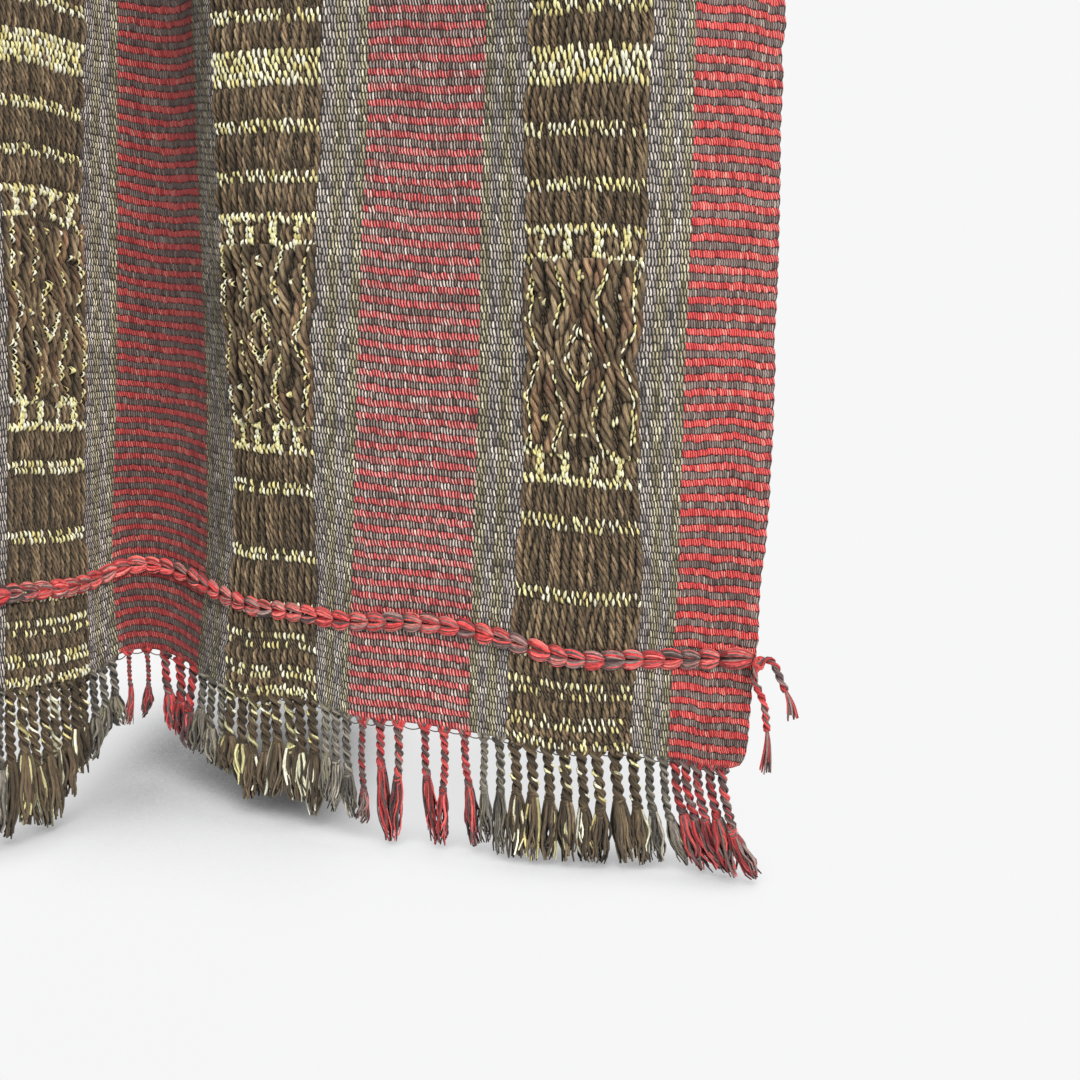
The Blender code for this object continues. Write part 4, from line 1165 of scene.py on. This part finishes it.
def knot(soup, side):
    """The knot just past a selvedge."""
    u = 0.0 if side > 0 else FLAT_WIDTH
    c = place(u, CORD_UP, 0.0) + np.array([side * 0.9, -4.2, 0.2]) * MM
    for k, (tilt, rad, thick) in enumerate(((0.3, 1.7, 1.15), (1.4, 1.5, 1.1), (-0.8, 1.6, 1.05))):
        ang = np.linspace(0, 2 * math.pi * 0.97, 15) + k
        x, y = np.cos(ang) * rad, np.sin(ang) * rad
        p = c + np.stack([x * math.cos(tilt) , -np.abs(y) * 0.25 - 0.3 * k, x * math.sin(tilt) + y], axis=1) * MM
        tubes(soup, p[None], thick * MM, (REDS if k != 1 else MAUVES)[k : k + 1], 6, ref=(0.0, -1.0, 0.0))


# ------------------------------------------------------------------ everything together
panel = woven_panel()

near_b, far_b, near_l, far_l = Soup(), Soup(), Soup(), Soup()
near_g, far_g = Grains(), Grains()
block_yarns(near_b, far_b)
lattice(near_l, far_l, near_g, far_g)
cream_rows(near_g, far_g)
cream_near, cream_far = Soup(), Soup()
near_g.build(cream_near, 5, 5)
far_g.build(cream_far, 3, 4)

cords, tassels = fringe()
chain_soup = chain()
knot(chain_soup, 1)
knot(chain_soup, -1)

pieces = {
    "block_yarns": near_b.build("block_yarns", YARN),
    "block_yarns_beyond": far_b.build("block_yarns_beyond", YARN),
    "lattice_yarns": near_l.build("lattice_yarns", YARN),
    "lattice_yarns_beyond": far_l.build("lattice_yarns_beyond", YARN),
    "cream_floats": cream_near.build("cream_floats", CREAM),
    "cream_floats_beyond": cream_far.build("cream_floats_beyond", CREAM),
    "fringe_cords": cords.build("fringe_cords", RED),
    "fringe_tassels": tassels.build("fringe_tassels", RED),
    "chain_cord": chain_soup.build("chain_cord", RED),
}
upper, upper_path, upper_length = tail("tail_upper", UPPER_TAIL, np.array([MAUVES[0], MAUVES[2], REDS[0], MAUVES[1], REDS[1], MAUVES[0]]), 5)
lower, lower_path, lower_length = tail("tail_lower", LOWER_TAIL, np.array([REDS[0], REDS[2], MAUVES[0], REDS[1], MAUVES[2], REDS[0]]), 9)

for ob in [panel, *pieces.values(), upper, lower]:
    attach(ob, "root")
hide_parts("cloth")
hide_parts("fringe")
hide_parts("twined_cord")
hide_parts("cord_tail_upper")
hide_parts("cord_tail_lower")

# ------------------------------------------------------------------ floor, light and camera
scene = bpy.context.scene
floor_net = Net("floor_paper")
floor_net.out.inputs["Base Color"].default_value = (0.0, 0.0, 0.0, 1.0)


def crowding(distance, way):
    """How much of the air over a point of the floor is free of the fringe and the cloth, seen towards way."""
    n = floor_net.nodes.new("ShaderNodeAmbientOcclusion")
    n.samples = 16
    n.inputs["Distance"].default_value = distance
    if way:
        floor_net.put(n.inputs["Normal"], floor_net.join(*way))
    return n.outputs["AO"]


# painted contact shadow in the floor's glow, darker where the fringe comes near
touch = floor_net.span(crowding(0.034, None), 0.20, 0.94, 0.20, 1.0)
# a painted soft shadow in the floor's glow behind the fringe, which is deep in the hollow of the first wide fold and
# faint elsewhere, set by position across the floor
shade = floor_net.ramp(crowding(0.170, (0.20, -0.87, 0.45)), [(0.0, (0.10,) * 3), (0.60, (0.06,) * 3), (0.68, (0.15,) * 3), (0.74, (0.25,) * 3), (0.82, (0.48,) * 3), (0.88, (0.70,) * 3), (0.95, (0.89,) * 3), (1.0, (0.995,) * 3)])
where = floor_net.nodes.new("ShaderNodeNewGeometry").outputs["Position"]
across = floor_net.split(where)[0]
hollow = floor_net.math("MULTIPLY", floor_net.span(across, 0.0, 0.045, 0.25, 1.0), floor_net.span(across, 0.11, 0.165, 1.0, 0.20))
hollow = floor_net.math("MULTIPLY", hollow, floor_net.span(across, 0.24, 0.33, 1.0, 0.0))
shade = floor_net.math("SUBTRACT", 1.0, floor_net.math("MULTIPLY", hollow, floor_net.math("SUBTRACT", 1.0, shade)))
bright = floor_net.math("MULTIPLY", touch, shade)
floor_net.put(floor_net.out.inputs["Emission Color"], floor_net.mix(bright, (0.0, 0.0, 0.0, 1.0), (0.93, 0.93, 0.932, 1.0)))
floor_net.out.inputs["Emission Strength"].default_value = 1.0
floor_net.out.inputs["Roughness"].default_value = 0.9
floor_net.out.inputs["Specular IOR Level"].default_value = 0.0


def flat_plane(name, corners, mat):
    me = bpy.data.meshes.new(name)
    me.from_pydata(corners, [], [(0, 1, 2, 3)])
    me.materials.append(mat)
    ob = bpy.data.objects.new(name, me)
    scene.collection.objects.link(ob)
    return ob


low = FLOOR_Z - 0.0006
flat_plane("floor", [(-30, -30, low), (30, -30, low), (30, 7, low), (-30, 7, low)], floor_net.mat)
back_net = Net("backdrop_paper")
back_net.out.inputs["Base Color"].default_value = (0.0, 0.0, 0.0, 1.0)
back_net.out.inputs["Specular IOR Level"].default_value = 0.0
back_net.out.inputs["Emission Color"].default_value = (0.93, 0.93, 0.932, 1.0)
back_net.out.inputs["Emission Strength"].default_value = 1.0
backdrop = flat_plane("backdrop", [(-12, 6.9, low - 1), (12, 6.9, low - 1), (12, 6.9, 8), (-12, 6.9, 8)], back_net.mat)
for ray in ("diffuse", "glossy", "transmission", "volume_scatter", "shadow"):
    setattr(backdrop, "visible_" + ray, False)

world = bpy.data.worlds.new("studio")
scene.world = world
world.use_nodes = True
world.node_tree.nodes["Background"].inputs["Color"].default_value = (0.97, 0.985, 1.0, 1.0)
world.node_tree.nodes["Background"].inputs["Strength"].default_value = 0.50


def sun(name, way, strength, spread, colour=(1.0, 1.0, 1.0)):
    """A broad studio light that shines the given way."""
    data = bpy.data.lights.new(name, "SUN")
    data.energy, data.angle, data.color = strength, math.radians(spread), colour
    ob = bpy.data.objects.new(name, data)
    scene.collection.objects.link(ob)
    x, y, z = way
    ob.location = (-x, -y, -z)
    ob.rotation_euler = (math.atan2(math.hypot(x, y), -z), 0.0, math.atan2(-x, y))
    return ob


sun("key", (-0.42, 0.72, -0.80), 2.5, 16, (1.0, 0.99, 0.97))
sun("overhead", (0.05, -0.22, -1.0), 0.5, 40)

cam = bpy.data.cameras.new("camera")
cam.sensor_width, cam.lens = 36.0, 43.333
cam.clip_start = 0.01
eye = bpy.data.objects.new("camera", cam)
scene.collection.objects.link(eye)
eye.location = (0.22687, -0.56533, -0.49994)
eye.rotation_euler = (math.radians(90 - 14.657), 0.0, 0.0)
scene.camera = eye
scene.view_settings.view_transform = "Standard"
scene.view_settings.look = "None"

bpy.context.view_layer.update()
